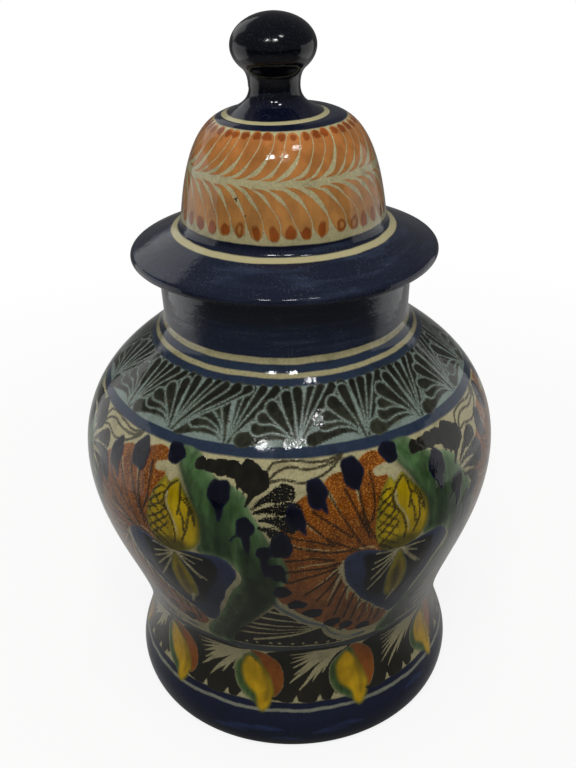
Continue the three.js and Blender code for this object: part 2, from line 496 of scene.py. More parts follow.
class Canvas:
    """The glazed outside of a piece, unrolled: one field of depths for each pigment on it.

    Distance across is the turn times a reach, the radius at which motifs have their true width.
    The hand is unsteady: every place is read a little beside where it is, by a few waves round the
    piece and up it, so that no two copies of a motif are alike.
    """

    def __init__(self, turns: Array, climbs: Array, reach: float, tremor: float, seed: int) -> None:
        """Lay out the empty canvas.

        Args:
            turns: Turn of each column, in radians, evenly spaced.
            climbs: Climb of each row.
            reach: Radius at which a turn is measured across.
            tremor: How far the unsteady hand strays.
            seed: Start of the hand's random waves.
        """
        self.reach = reach
        self.columns = len(turns)
        self.pitch = 2 * np.pi * reach / self.columns
        self.climbs = climbs
        self.fields: dict[Pigment, Array] = {}
        rng = np.random.default_rng(seed)
        self.stray = [self._waves(turns, climbs, tremor, rng) for _ in range(2)]

    @staticmethod
    def _waves(turns: Array, climbs: Array, tremor: float, rng: np.random.Generator) -> Array:
        """Sum waves of whole numbers round the piece, each with its own slant and phase.

        Args:
            turns: Turn of each column.
            climbs: Climb of each row.
            tremor: Height of the waves, more or less.
            rng: The hand's random source.

        Returns:
            The sum at each row and column.
        """
        total = np.zeros((len(climbs), len(turns)))
        for count in (5, 8, 13, 19, 31, 47):
            slant, phase = rng.uniform(-0.12, 0.12), rng.uniform(0, 2 * np.pi)
            total += np.cos(count * turns + slant * climbs[:, None] + phase) / math.sqrt(count)
        return tremor * total

    def lay(self, pigment: Pigment, mark: Mark, at: float = 0.0, gap: float = 0.0) -> None:
        """Paint a mark.

        Args:
            pigment: Its colour.
            mark: The mark, in its motif's own place.
            at: Place of its motif round the piece.
            gap: Width of bare ground that the mark keeps to what was laid before.
        """
        rows, columns, depth = self._depth(mark, at, gap + MARGIN)
        layer = self.fields.setdefault(pigment, np.full(self.stray[0].shape, FAR))
        kept = layer[rows, columns]
        if gap:
            kept = np.minimum(kept, -depth - gap)
        layer[rows, columns] = np.maximum(kept, depth)

    def spare(self, pigment: Pigment, mark: Mark, at: float = 0.0) -> None:
        """Scratch a mark out of a pigment.

        Args:
            pigment: The pigment.
            mark: The mark, in its motif's own place.
            at: Place of its motif round the piece.
        """
        rows, columns, depth = self._depth(mark, at, MARGIN)
        layer = self.fields[pigment]
        layer[rows, columns] = np.minimum(layer[rows, columns], -depth)

    def _depth(self, mark: Mark, at: float, reach: float) -> tuple[Array, Array, Array]:
        """Work out the depths round a mark.

        Args:
            mark: The mark.
            at: Place of its motif.
            reach: How far round its box.

        Returns:
            Index arrays of the rows and columns, and the depths there.
        """
        low, high = mark.box()
        middle, half = (low[1] + high[1]) / 2, (high[1] - low[1]) / 2
        rows = np.flatnonzero(np.abs(self.climbs - middle) < half + reach)
        first = math.floor((at + low[0] - reach) / self.pitch)
        last = math.ceil((at + high[0] + reach) / self.pitch)
        run = np.arange(first, min(last, first + self.columns - 1) + 1)
        rows, columns = rows[:, None], run[None] % self.columns
        x = run * self.pitch - at + self.stray[0][rows, columns]
        s = self.climbs[rows] + self.stray[1][rows, columns]
        return rows, columns, mark.depth(x, s)


@dataclass
class Brush:
    """The painter's brush at the place of one motif across, and the hand's chance in using it."""

    canvas: Canvas
    rng: np.random.Generator
    at: float = 0.0

    def at_place(self, at: float) -> "Brush":
        """Return the same brush at the place of another motif."""
        return Brush(self.canvas, self.rng, at)

    def vary(self, most: float) -> float:
        """Return a chance stray of at most so much either way."""
        return self.between(-most, most)

    def between(self, low: float, high: float) -> float:
        """Return a chance number between two."""
        return self.rng.uniform(low, high)

    def chance(self, share: float) -> bool:
        """Say yes by chance, in a share of the cases."""
        return self.rng.random() < share

    def lay(self, pigment: Pigment, mark: Mark, gap: float = 0.0) -> None:
        """Paint a mark of the motif, a gap away from what was laid before."""
        self.canvas.lay(pigment, mark, self.at, gap)

    def spare(self, mark: Mark, *pigments: Pigment) -> None:
        """Scratch a mark of the motif out of one or more pigments."""
        for pigment in pigments:
            self.canvas.spare(pigment, mark, self.at)


# fmt: off
@dataclass
class BellBand:
    """Bell of the lid: two rows of comma strokes that sweep away from a pale, jagged spine.

    Each stroke leaves the spine as a thin tail, swells, and ends in a darker touch of the brush.
    """

    reach: float = 49.0
    strokes: int = 40
    spine: float = 31.0
    top: float = 57.9
    bottom: float = 3.0
    shift: float = 0.4
    gap: float = 0.55

    def paint(self, brush: Brush) -> None:
        """Paint both rows, the upper one from right to left, so that full sides lie on top.

        Args:
            brush: The brush, over an empty canvas.
        """
        step = 2 * np.pi * self.reach / self.strokes
        for end, share in ((self.top, 0), (self.bottom, self.shift)):
            for k in reversed(range(self.strokes)):
                stroke = brush.at_place((k + share) * step + brush.vary(1.1))
                self.comma(stroke, step, end)

    def comma(self, brush: Brush, step: float, end: float) -> None:
        """Paint one stroke from the spine to its end, above or below it.

        Args:
            brush: The brush, at the stroke's place.
            step: Distance between strokes.
            end: Climb of its fat end.
        """
        rise = end - self.spine
        way = math.copysign(1, rise)
        full = brush.between(0.48, 0.55) * step
        tip = end - way * full + brush.between(-0.6, 0.8) * (way < 0)
        stroke = Stroke.through(
            (-1.25 * step, self.spine + way * brush.between(1, 2.4), 0.1),
            (-0.45 * step, self.spine + way * 3.6, 0.15 * step),
            (0.30 * step, self.spine + 0.36 * rise, 0.33 * step),
            (0.80 * step, self.spine + 0.64 * rise, 0.96 * full),
            (0.98 * step, tip, full if way > 0 else 0.72 * full),
        )
        brush.lay(Pigment.ORANGE, stroke, self.gap)
        x, lean = 0.98 * step + brush.vary(0.5), brush.vary(0.2)
        if way > 0:
            broad, tall = brush.between(2.1, 3), brush.between(1.8, 2.8)
            brush.lay(Pigment.DAB, Dab(x, tip + 0.8, broad, tall, lean, brush.at))
            return
        broad, tall = brush.between(1.7, 2.5), brush.between(2.6, 4.2)
        brush.lay(Pigment.DAB, Dab(x, tip + 0.6, broad, tall, lean, brush.at))
        if brush.chance(0.15):
            hollow = Dab(x, tip + 0.6, 0.5 * broad, 0.6 * tall, lean, brush.at)
            brush.spare(hollow, Pigment.DAB)


@dataclass
class LeafBand:
    """Shoulder of the jar: fans of fat-ended strokes that rise from the lower blue line.

    A leaf is given by the place of its end across and above the fan's foot, and by its half width.
    """

    reach: float = 95.0
    fans: int = 18
    first: float = -17.5
    foot: float = 221.6
    top: float = 253.4
    gap: float = 0.7
    leaves: tuple[Spot, ...] = (
        (37, 30, 2.2), (29.5, 30.5, 3), (-27, 3, 4), (-20, 8.8, 3.4), (-18.5, 14.4, 3.3),
        (-13, 20.4, 3.8), (-5, 25.8, 3.4), (2, 29.5, 2.8), (9, 30, 3), (16, 30.2, 3),
        (22.8, 30.6, 2.6),
    )

    def paint(self, brush: Brush) -> None:
        """Paint the fans from left to right.

        Args:
            brush: The brush, over an empty canvas.
        """
        for k in range(self.fans):
            turn = math.radians(self.first + 360.0 * k / self.fans + brush.vary(0.9))
            self.fan(brush.at_place(turn * self.reach))

    def fan(self, brush: Brush) -> None:
        """Paint one fan, whose leaves leave its foot upright and bend out to both sides.

        Args:
            brush: The brush, at the fan's place.
        """
        for x, rise, full in self.leaves:
            x, rise = x + brush.vary(0.9), rise + brush.vary(0.8)
            full *= brush.between(0.92, 1.12)
            end = min(self.foot + rise, self.top - full + brush.between(0.2, 1))
            rise, bow = end - self.foot, 0.0 if rise > 20.0 else 3.2
            start = 0.9 * math.copysign(1, x)
            leaf = Stroke.through(
                (start, self.foot + 0.6, 0.8),
                (start + 0.24 * x, self.foot + 0.34 * rise + bow, 1),
                (start + 0.60 * x, self.foot + 0.70 * rise + bow, 0.66 * full + 0.3),
                (x, end, full),
            )
            brush.lay(Pigment.DARK, leaf, self.gap)


@dataclass
class Flower(Brush):
    """A flower seen from the side: its fan of petals, bud and calyx, and what grows beside it.

    Places across are counted from the middle of its bud. A bead is given by its place, half sizes
    and lean, and a gleam's points by their place and half width. Only beads whose climb is between
    those of drips may run. Tendrils and scroll are those on the flower's left.
    """

    beads: tuple[tuple[float, ...], ...] = (
        (-2.8, 211.2, 5.6, 5.9, 0), (-25.7, 205, 5.9, 9, 0), (-44.4, 197.3, 4.9, 8.8, 0),
        (-54.6, 185.5, 4.6, 7.4, -0.4), (-61.7, 169.2, 4.8, 7.2, 0.1), (-64.5, 152, 4.4, 6, 0),
        (-62.6, 136.4, 4.7, 5.4, 0.2), (-55.6, 124, 4.9, 3.9, 0), (-46.6, 115, 5.7, 4.4, 0),
        (-33.9, 103, 5.4, 4.2, 0), (-24.3, 97.3, 4.6, 4.3, 0), (-10.9, 91.6, 5.7, 3.5, 0),
    )
    petals_from: tuple[Point, ...] = (
        (-11, 162), (-16, 163), (-21, 163.5), (-27, 162.5), (-32, 159.5), (-33.5, 154.5),
        (-33, 148.5), (-31, 141), (-26.5, 133), (-20, 124.5), (-13, 117), (-4.5, 108),
    )
    veins: tuple[tuple[Point, ...], ...] = (
        ((-24, 197), (-21.5, 180), (-15.5, 167), (-12, 161)),
        ((-16.5, 204), (-16, 188), (-18.5, 178)), ((-30, 197), (-24.5, 183), (-18.5, 168)),
        ((-39, 197), (-32, 182), (-24, 167.5), (-20.5, 162.5)),
        ((-47, 188), (-38, 179.5), (-29, 171)),
        ((-50.5, 184), (-41, 172.5), (-33, 167), (-25, 163)),
        ((-57.5, 176), (-46, 171.5), (-37, 168)), ((-56.5, 169.5), (-43, 164), (-28, 162.5)),
        ((-60, 160.5), (-47, 160.5), (-37, 158.5)), ((-59.5, 153), (-43, 154), (-34, 156)),
        ((-59, 144), (-47, 148), (-35.5, 152)), ((-52, 133.5), (-42, 143), (-35.5, 150.5)),
        ((-46, 126), (-39.5, 137), (-35, 147)), ((-38, 120), (-35.5, 131), (-32.5, 142)),
        ((-33.5, 110), (-31.5, 123), (-29, 136)), ((-27.5, 105), (-26, 118), (-24.5, 129)),
        ((-21.5, 102), (-20.5, 112), (-19, 123)), ((-15.5, 97.5), (-14, 107), (-13, 117)),
        ((-7.5, 96), (-7, 103), (-7, 110.5)), ((-2.5, 92.5), (-1.5, 98), (-1.5, 104.5)),
    )
    drips: Point = (145, 206)
    gleams: tuple[tuple[Spot, ...], ...] = (
        ((-57, 171.5, 0.5), (-50, 168, 0.6), (-42, 166, 0.5), (-32, 164.5, 0.3)),
        ((-39, 196.5, 1.1), (-36, 190, 0.6), (-33.5, 184.5, 0.3)),
        ((-25, 196.5, 0.9), (-24.5, 191, 0.4), (-24, 186, 0.2)),
        ((-50.5, 182, 0.6), (-47, 177.5, 0.4), (-43, 173.5, 0.2)),
        ((-55, 155.5, 0.5), (-45, 156.5, 0.5), (-37, 157, 0.3)),
        ((-34.5, 154, 0.9), (-35, 143, 0.9), (-37.5, 132.5, 0.6), (-39.5, 125, 0.2)),
        ((-47, 139, 0.2), (-40.5, 145.5, 0.5), (-35.5, 151.5, 0.6)),
        ((-29, 139, 1.1), (-28.6, 130, 0.8), (-28, 121, 0.3)),
        ((-22.5, 129, 0.9), (-20, 118, 0.7), (-18.5, 107, 0.3)),
        ((-15, 120, 0.9), (-11.5, 109, 0.6), (-10, 99, 0.3)),
        ((-8, 113.5, 0.9), (-5, 105, 0.5), (-4.5, 97, 0.3)),
        ((-33.5, 157, 0.8), (-32.8, 147, 1), (-30, 138, 1.1), (-19.5, 123, 1), (-10, 114, 1),
         (0.5, 102.5, 0.8)),
        ((-12.5, 202.5, 2.6), (-4, 203.5, 3.2), (-4, 198.5, 2.4), (3, 199.5, 1)),
        ((-28, 163, 0.4), (-18, 163, 0.7), (-13, 159.5, 0.4)),
    )

    def petals(self) -> None:
        """Paint the fan: a round-ended petal between each two beads, dark veins and bare gleams."""
        beads = np.array([bead[:2] for bead in self.beads])
        rims = np.concatenate([beads, [[3.5, 92.5]]])
        for one, two, start in zip(rims[:-1], rims[1:], np.array(self.petals_from)):
            middle = (one + two) / 2
            full = 0.5 * float(np.hypot(*(two - one))) + 1.0
            outward = (middle - start) / np.hypot(*(middle - start))
            tip = middle + outward * (4.6 - full + self.vary(0.7))
            waist = start + 0.5 * (tip - start)
            petal = Stroke.through((*start, 3.4), (*waist, 0.74 * full), (*tip, full), steps=4)
            for pigment in (Pigment.OCHRE, Pigment.ORANGE):
                self.lay(pigment, petal)
        for gleam in self.gleams:
            path = np.array(gleam) + (self.vary(0.5), self.vary(0.5), 0)
            self.spare(Stroke(spline(path, 5)), Pigment.OCHRE, Pigment.ORANGE)
        for vein in self.veins:
            path = np.array([(*point, 0.7) for point in vein])
            path[:, :2] += self.rng.uniform(-0.7, 0.7, 2)
            self.lay(Pigment.LINE, Stroke(spline(path, 5)))

    def bead_row(self) -> None:
        """Paint the dark beads round the fan, some with a drip towards its middle."""
        for x, s, broad, tall, lean in self.beads:
            lean += self.vary(0.15)
            size = self.between(0.94, 1.05)
            self.lay(Pigment.DAB, Dab(x, s, size * broad, size * tall, lean, x + self.at))
            if self.drips[0] < s < self.drips[1] and self.chance(0.4):
                drip = Stroke.through(
                    (x + 2, s - 0.5 * tall, 2.2),
                    (x + 3.4, s - 0.95 * tall, 1.3),
                    (x + 4.2, s - 1.15 * tall - self.between(0, 1.5), 0.5),
                )
                self.lay(Pigment.DAB, drip)

    def green_spray(self) -> None:
        """Paint the wet green that runs from the top line, behind the bud, down to the waist."""
        spray = Patch.inside(
            (0, 216), (11, 216), (20, 206.5), (31, 201.5), (39, 196.5), (41.5, 189), (46, 182),
            (50.5, 172.5), (56, 161), (58, 150), (55.5, 141.5), (51.5, 134), (49.5, 125), (43, 115),
            (37.5, 107.5), (31, 100), (25, 92), (20, 85), (16, 78.5), (2, 78.5), (2.5, 88), (9, 98),
            (16.5, 109), (22, 121), (27, 132.5), (33, 141.5), (34, 150), (28, 158), (13, 160.5),
            (15.5, 169), (14.5, 179), (10.5, 189), (6, 198), (1.5, 205), (-1, 211),
        )
        self.lay(Pigment.GREEN, spray)
        for path in (
            ((1.5, 206, 1.6), (8.5, 194, 2.4), (15.5, 180, 2.6), (17, 165, 2.6)),
            ((24, 190, 4), (26, 176, 5), (27, 164, 4.5)),
            ((38, 166, 3), (41, 150, 6), (44, 132, 6.5), (36, 112, 5), (26, 96, 4.5), (16, 82, 4)),
            ((48.5, 160, 3.4), (48.5, 144, 4.6), (45.5, 126, 4.4), (38, 112, 3)),
        ):
            self.lay(Pigment.SHADE, Stroke.through(*path))
        dabs = ((24.8, 196.8, 6.1, 8, 6), (38.6, 180, 5, 6, 8), (47.5, 165, 3.9, 4.8, 11))
        for x, s, broad, tall, drip in dabs:
            self.lay(Pigment.DAB, Dab(x, s, broad, tall, 0, s + self.at))
            run = Stroke.through(
                (x, s - 0.4 * tall, 0.5 * broad),
                (x + self.between(-0.4, 0.8), s - tall - 0.4 * drip, 1.9),
                (x + self.between(-0.4, 1.2), s - tall - drip, 0.9),
            )
            self.lay(Pigment.DAB, run)
        self.lay(Pigment.DAB, Stroke.through((38, 177, 1), (34.5, 176, 0.7), (31, 172, 0.55)))

    def cloud(self) -> None:
        """Paint the dark billow that rolls from the green to the right, and its fringe."""
        for x, s, broad, tall in (
            (13.6, 209.8, 3.8, 3.5), (19, 209.6, 4.4, 3.4), (25, 209.8, 5, 4.4),
            (31, 209.4, 5, 4.6), (40, 206.6, 8, 7.8), (43.5, 203.8, 6.6, 7),
        ):
            self.lay(Pigment.DARK, Dab(x, s, broad, tall, 0, x))
        for path in (
            ((34, 205, 1.6), (34.2, 200, 0.6)), ((38.5, 204, 2.2), (38, 197.6, 0.6)),
            ((44.5, 204, 3.4), (42.5, 198, 2), (38.8, 191, 0.6)),
            ((47, 207, 3.4), (48.5, 202.5, 2), (46.5, 199, 0.8)),
        ):
            self.lay(Pigment.DARK, Stroke.through(*path))

    def plume(self) -> None:
        """Paint the dark plume right of the green: fat strokes that fan out from its lower left."""
        for root, bend, end in (
            ((42.5, 190), (49.5, 195.5), (57.5, 198, 5.6)),
            ((43, 188), (51, 190.4), (61, 189.5, 4.6)),
            ((45.5, 184.5), (51.5, 184.6), (59.5, 181.6, 4.4)),
            ((45.5, 180.5), (50.5, 178.5), (56, 173, 4)),
        ):
            sway = self.vary(0.5)
            feather = Stroke.through((*root, 0.6), (bend[0], bend[1] + sway, 2), end)
            self.lay(Pigment.PLUME, feather, 0.7)

    def tendrils(self) -> None:
        """Paint the thin wavy strokes that trail to the right above the flower's fan."""
        for path in (
            ((-69.5, 201.5), (-66.5, 211.5), (-61.7, 214.6), (-51, 214.2), (-39, 212.6),
             (-29.5, 215)),
            ((-68.5, 203), (-63.3, 209.2), (-56.8, 211.2), (-47, 209.9), (-36, 211),
             (-29.5, 214.2)),
            ((-67, 204), (-60.8, 205.6), (-51, 203.3), (-42, 205.6), (-36.5, 208.6), (-30, 213)),
        ):
            points = [(x, s + self.vary(0.3), 0.75) for x, s in path]
            self.lay(Pigment.LINE, Stroke.through(*points, steps=6))

    def veined_leaf(self) -> None:
        """Paint the dark leaf between two flowers, low on the belly, with pale ribs in it."""
        blade = Patch.inside(
            (20, 84), (24, 92), (29, 98.5), (34, 102.5), (40, 108.5), (45, 115.5), (51.5, 122.5),
            (56.5, 120), (62, 113), (70, 107.5), (79, 101.5), (87, 96), (95, 89), (102, 82),
            (60, 80.3), (22, 80.3),
        )
        self.lay(Pigment.DARK, blade)
        root = (79.5, 100)
        for x, s, bow, width in (
            (22.5, 92, -3, 0.5), (28, 98.8, -2, 0.55), (33.5, 103.5, -0.5, 0.55),
            (40.5, 110.5, 0.5, 0.6), (45.5, 117.5, 1.5, 0.55), (52, 123, 2.5, 0.5),
            (59, 117, 1.5, 0.5), (34, 85.5, -2, 0.6), (44, 87.5, -1, 0.7),
        ):
            middle = ((x + root[0]) / 2, (s + root[1]) / 2 + bow + self.vary(0.4))
            rib = Stroke.through((x, s, 1.2 * width + 0.4), (*middle, width), (*root, 0.5))
            self.spare(rib, Pigment.DARK)
        for x, s, width in ((86.5, 95.5, 1.2), (92.5, 90, 1.3), (98.5, 86, 1.2), (84, 88, 0.9)):
            middle = ((x + root[0]) / 2 - 0.8, (s + root[1]) / 2 - 1.2)
            self.spare(Stroke.through((*root, 0.6), (*middle, width), (x, s, 0.6)), Pigment.DARK)
        for k in range(9):
            self.spare(Dab(28.0 + 7.6 * k + self.vary(1.5), 82.6, 1.2, 0.9), Pigment.DARK)

    def scroll(self) -> None:
        """Paint the grey-blue scroll under the fan, edged pale, with two pale glints."""
        scroll = Stroke.through(
            (-63.5, 131.5, 1.2), (-67, 130, 1.5), (-66, 125, 1.8), (-63, 119, 1.8),
            (-56.5, 112, 1.8), (-49, 105, 1.6), (-39.5, 99.5, 1.6), (-36, 93.5, 2),
            (-29.5, 87.5, 2.2), (-21, 83.8, 1.6), (-8, 83.5, 1.2),
        )
        self.spare(Stroke(scroll.points + (0, 0, 0.9)), Pigment.DARK)
        self.lay(Pigment.SKY, scroll)
        for path in (
            ((-66, 131, 0.5), (-64.5, 125, 0.7), (-60, 118.5, 0.6), (-54, 112.5, 0.5)),
            ((-39, 97.5, 0.5), (-34.5, 90.5, 0.8), (-28, 86, 0.6), (-18, 83, 0.4)),
        ):
            self.spare(Stroke.through(*path), Pigment.SKY)

    def calyx(self) -> None:
        """Paint the heart-shaped calyx, its near-black middle, pale hooks and small leaf."""
        heart = Patch.inside(
            (0, 157), (-9, 158.5), (-18, 161.5), (-26, 162), (-32.2, 158), (-31.8, 147), (-29, 138),
            (-19.5, 123.5), (-10, 114), (0, 104), (5, 98), (10.5, 100), (16.5, 109.5), (21.5, 121),
            (26.5, 132.5), (32, 142), (33, 150), (28.5, 158), (20, 160), (8, 158.5),
        )
        self.spare(heart, Pigment.DARK, Pigment.LINE)
        self.lay(Pigment.COBALT, heart)
        middle = Patch.inside(
            (0, 157), (-12, 158), (-21.5, 158), (-19.5, 146), (-19, 134), (-12, 124), (-3, 118),
            (6, 115), (12, 124), (17, 134), (22, 145), (20, 156), (9, 157.5),
        )
        self.lay(Pigment.NIGHT, middle)
        rim = Stroke.through(
            (33.5, 151, 0.7), (33.6, 146, 1.4), (31.5, 141.5, 1.7), (28, 137, 0.8),
            (26, 132.5, 1.5), (22.5, 124.5, 0.8), (20.5, 119.5, 1.3), (17, 111, 0.6),
        )
        self.lay(Pigment.CREAM, rim)
        for (x, s), bend in (
            ((-14.6, 157.7), (-7, 157.2)), ((-15, 152), (-8, 154)), ((-15.8, 147), (-9, 150.5)),
            ((-15.4, 139.5), (-9.5, 146.5)), ((-16, 130.6), (-10.5, 138.5)),
            ((14.6, 154.5), (7.5, 155.6)), ((10.5, 151), (5, 153.5)), ((12, 141), (6.5, 147.5)),
            ((15, 138.5), (9, 146)),
        ):
            hook = Stroke.through((x, s + self.vary(0.8), 0.5), (*bend, 0.55), (0, 156.5, 0.45))
            self.lay(Pigment.CREAM, hook)
        leaf = Patch.inside(
            (-0.5, 156), (-3.5, 150), (-5.8, 141), (-5.4, 129.5), (-3.5, 121), (1, 117.5),
            (5.5, 122), (7.5, 130), (6.2, 141), (2.8, 150),
        )
        self.spare(leaf, Pigment.COBALT, Pigment.NIGHT, Pigment.CREAM)
        self.lay(Pigment.YELLOW, leaf)
        rib = Stroke.through((-0.3, 151, 0.8), (0.2, 140, 2.6), (1, 128, 2.6), (1, 120, 1))
        self.lay(Pigment.SHADE, rib)
        tip = Stroke.through((2.5, 121, 1.2), (1.2, 117, 0.9), (-0.5, 112.5, 0.4))
        self.lay(Pigment.CREAM, tip)

    def bud(self) -> None:
        """Paint the yellow bud over the calyx: two lobes, a dark crease, and a net of lines."""
        body = Patch.inside(
            (-0.7, 156.2), (-8.9, 157.2), (-13.2, 162), (-16.2, 170), (-15.6, 180.6), (-11.8, 191),
            (-6, 198.6), (-3.6, 197), (-2.6, 195.4), (-0.6, 198), (2.4, 199.6), (6.8, 193.5),
            (12.5, 186.5), (15.8, 178.5), (14.8, 168), (9.8, 160.2),
        )
        self.spare(body, Pigment.DARK, Pigment.LINE)
        self.lay(Pigment.YELLOW, body)
        crease = Stroke.through(
            (2.2, 198, 0.6), (-2.6, 193.5, 0.7), (-5.2, 188, 0.85), (-4, 182.7, 0.8),
            (-0.7, 177.5, 0.7), (1.2, 172, 0.75), (1.8, 167, 0.6), (0.5, 162.5, 0.5),
        )
        self.lay(Pigment.LINE, crease)
        self.lay(Pigment.CREAM, Stroke(crease.points[8:32] + (1.5, 0.4, -0.2)))
        self.lay(Pigment.SHADE, Stroke.through((-9, 162, 3.5), (-3, 161, 4.5), (4.5, 161.5, 3.5)))
        for k in range(6):
            s = 164.0 + 4.9 * k + self.vary(0.6)
            edge = -15.6 * math.sqrt(max(0, 1 - ((s - 176) / 25) ** 2))
            for drop in (-8.5, 9.5):
                line = Stroke.through(
                    (edge, s, 0.5),
                    (0.55 * edge - 1, s + 0.45 * drop + self.vary(0.8), 0.62),
                    (-2.6, min(s + drop, 192), 0.5),
                )
                self.lay(Pigment.LINE, line)
        for path in (
            ((3.5, 197), (5, 188), (4, 180)), ((5, 190), (9.5, 185), (12, 178)),
            ((7.5, 190.5), (12, 183), (13.2, 176)), ((4.5, 184), (7, 178), (7.5, 171)),
            ((9.5, 184), (9, 174), (6.5, 165)),
        ):
            points = [(x + self.vary(0.5), s, 0.62) for x, s in path]
            self.lay(Pigment.LINE, Stroke.through(*points))


@dataclass
class FlowerBand:
    """Belly of the jar: a row of flowers."""

    reach: float = 111.7
    flowers: int = 6
    first: float = -31.0

    def paint(self, brush: Brush) -> None:
        """Paint the flowers, and what grows between each one and the next.

        Args:
            brush: The brush, over an empty canvas.
        """
        step = 2 * np.pi * self.reach / self.flowers
        first = math.radians(self.first) * self.reach
        flowers = [Flower(brush.canvas, brush.rng, first + k * step) for k in range(self.flowers)]
        for flower in flowers:
            flower.petals()
            flower.green_spray()
        for flower in flowers:
            after = Flower(brush.canvas, brush.rng, flower.at + step)
            flower.cloud()
            flower.plume()
            after.tendrils()
            flower.veined_leaf()
            after.scroll()
            flower.calyx()
            flower.bud()
            flower.bead_row()


@dataclass
class FootBud(Brush):
    """A two-coloured bud of the foot, and the dark field on its right with pale fingers in it.

    Places across are counted from the middle of the bud.
    """

    def field(self) -> None:
        """Paint one dark field with scalloped ends, and scratch the fingers out of it."""
        ground = Patch.inside(
            (7, 73.6), (7, 42), (13, 37.6), (20, 37.2), (23, 39), (26, 37.4), (34, 37.2),
            (37.5, 39), (40.5, 37.4), (45, 38), (52, 46), (53, 60), (58, 73.6),
        )
        self.lay(Pigment.DARK, ground)
        root = (53.5, 73)
        for x, s, bow, broad in (
            (19, 72, -0.4, 0.6), (20, 68.5, -1, 0.8), (20.5, 65, -1.6, 1), (21.5, 61, -2.2, 1.4),
            (21.5, 56, -2.6, 1.6), (20, 50.5, -2.6, 1.6), (25, 45.5, -2.6, 1.5),
            (33.5, 50.5, -3.4, 1.5), (40.5, 55.5, -3.2, 1.1),
        ):
            x, s = x + self.vary(1), s + self.vary(0.4)
            one, two = (
                (x + share * (root[0] - x), s + share * (root[1] - s) - bow)
                for share in (0.4, 0.72)
            )
            finger = Stroke.through((x, s, 0.25), (*one, broad), (*two, 0.8 * broad), (*root, 0.9))
            self.spare(finger, Pigment.DARK)
        for x in (23, 37.5, 46.5):
            chip = Stroke.through((x + self.vary(0.6), 37.6, 1.7), (x + 0.4, 41.4, 0.3))
            self.spare(chip, Pigment.DARK)
        for k in range(3):
            x, s = self.between(0, 60), self.between(6, 27)
            glimmer = Stroke.through((x, s, 0.6), (x + 9, s + 0.6, 1.6), (x + 19, s - 0.4, 0.5))
            self.lay(Pigment.SKY, glimmer)

    def bud(self) -> None:
        """Paint one bud: yellow, with a green flank on its left and a toothed orange one."""
        sway = self.vary(0.6)
        green = Patch.inside(
            (-3, 72), (-10, 66), (-14.3, 59.5), (-14.9, 50.5), (-12, 43), (-5, 37.5), (3, 34),
            (6, 40), (4, 55), (1, 67),
        )
        orange = Patch.inside(
            (-3, 72.6), (3, 73.2), (9.3, 68.6), (13.6, 62), (15.2, 53.5), (14.2, 46), (10, 40),
            (6, 42), (2, 55), (-2, 66),
        )
        whole = Patch(np.concatenate([green.points[:32], orange.points[:34]]))
        self.spare(whole, Pigment.DARK)
        self.lay(Pigment.GREEN, green)
        self.lay(Pigment.ORANGE, orange)
        for k in range(7):
            angle = math.radians(62.0 - 20.0 * k + self.vary(2))
            tooth = Dab(1.6 + 13.6 * math.cos(angle), 55.0 + 15.6 * math.sin(angle), 1.5, 1.3, 0, k)
            self.lay(Pigment.ORANGE, tooth)
        yellow = Patch.inside(
            (-5.6 + sway, 69), (-10.2, 61), (-10.8, 54), (-8.4, 46.5), (-2, 40.5),
            (-0.5, 33.5), (2.8, 30.6), (6.2, 33), (9.6, 41), (8.8, 48), (5.6, 57),
            (sway, 66),
        )
        self.lay(Pigment.YELLOW, yellow)
        fold = Stroke.through((0.5, 66, 1), (4, 56, 1.6), (6.2, 47, 1.8), (5, 38, 1))
        self.lay(Pigment.SHADE, fold)


@dataclass
class FootBand:
    """Foot of the jar: a row of buds between dark fields."""

    reach: float = 95.5
    buds: int = 10
    first: float = -13.5

    def paint(self, brush: Brush) -> None:
        """Paint the dark fields, and then the buds over their ends.

        Args:
            brush: The brush, over an empty canvas.
        """
        turns = [self.first + 360.0 / self.buds * k + brush.vary(1.2) for k in range(self.buds)]
        places = [math.radians(turn) * self.reach for turn in turns]
        buds = [FootBud(brush.canvas, brush.rng, place) for place in places]
        for bud in buds:
            bud.field()
        for bud in buds:
            bud.bud()
# fmt: on


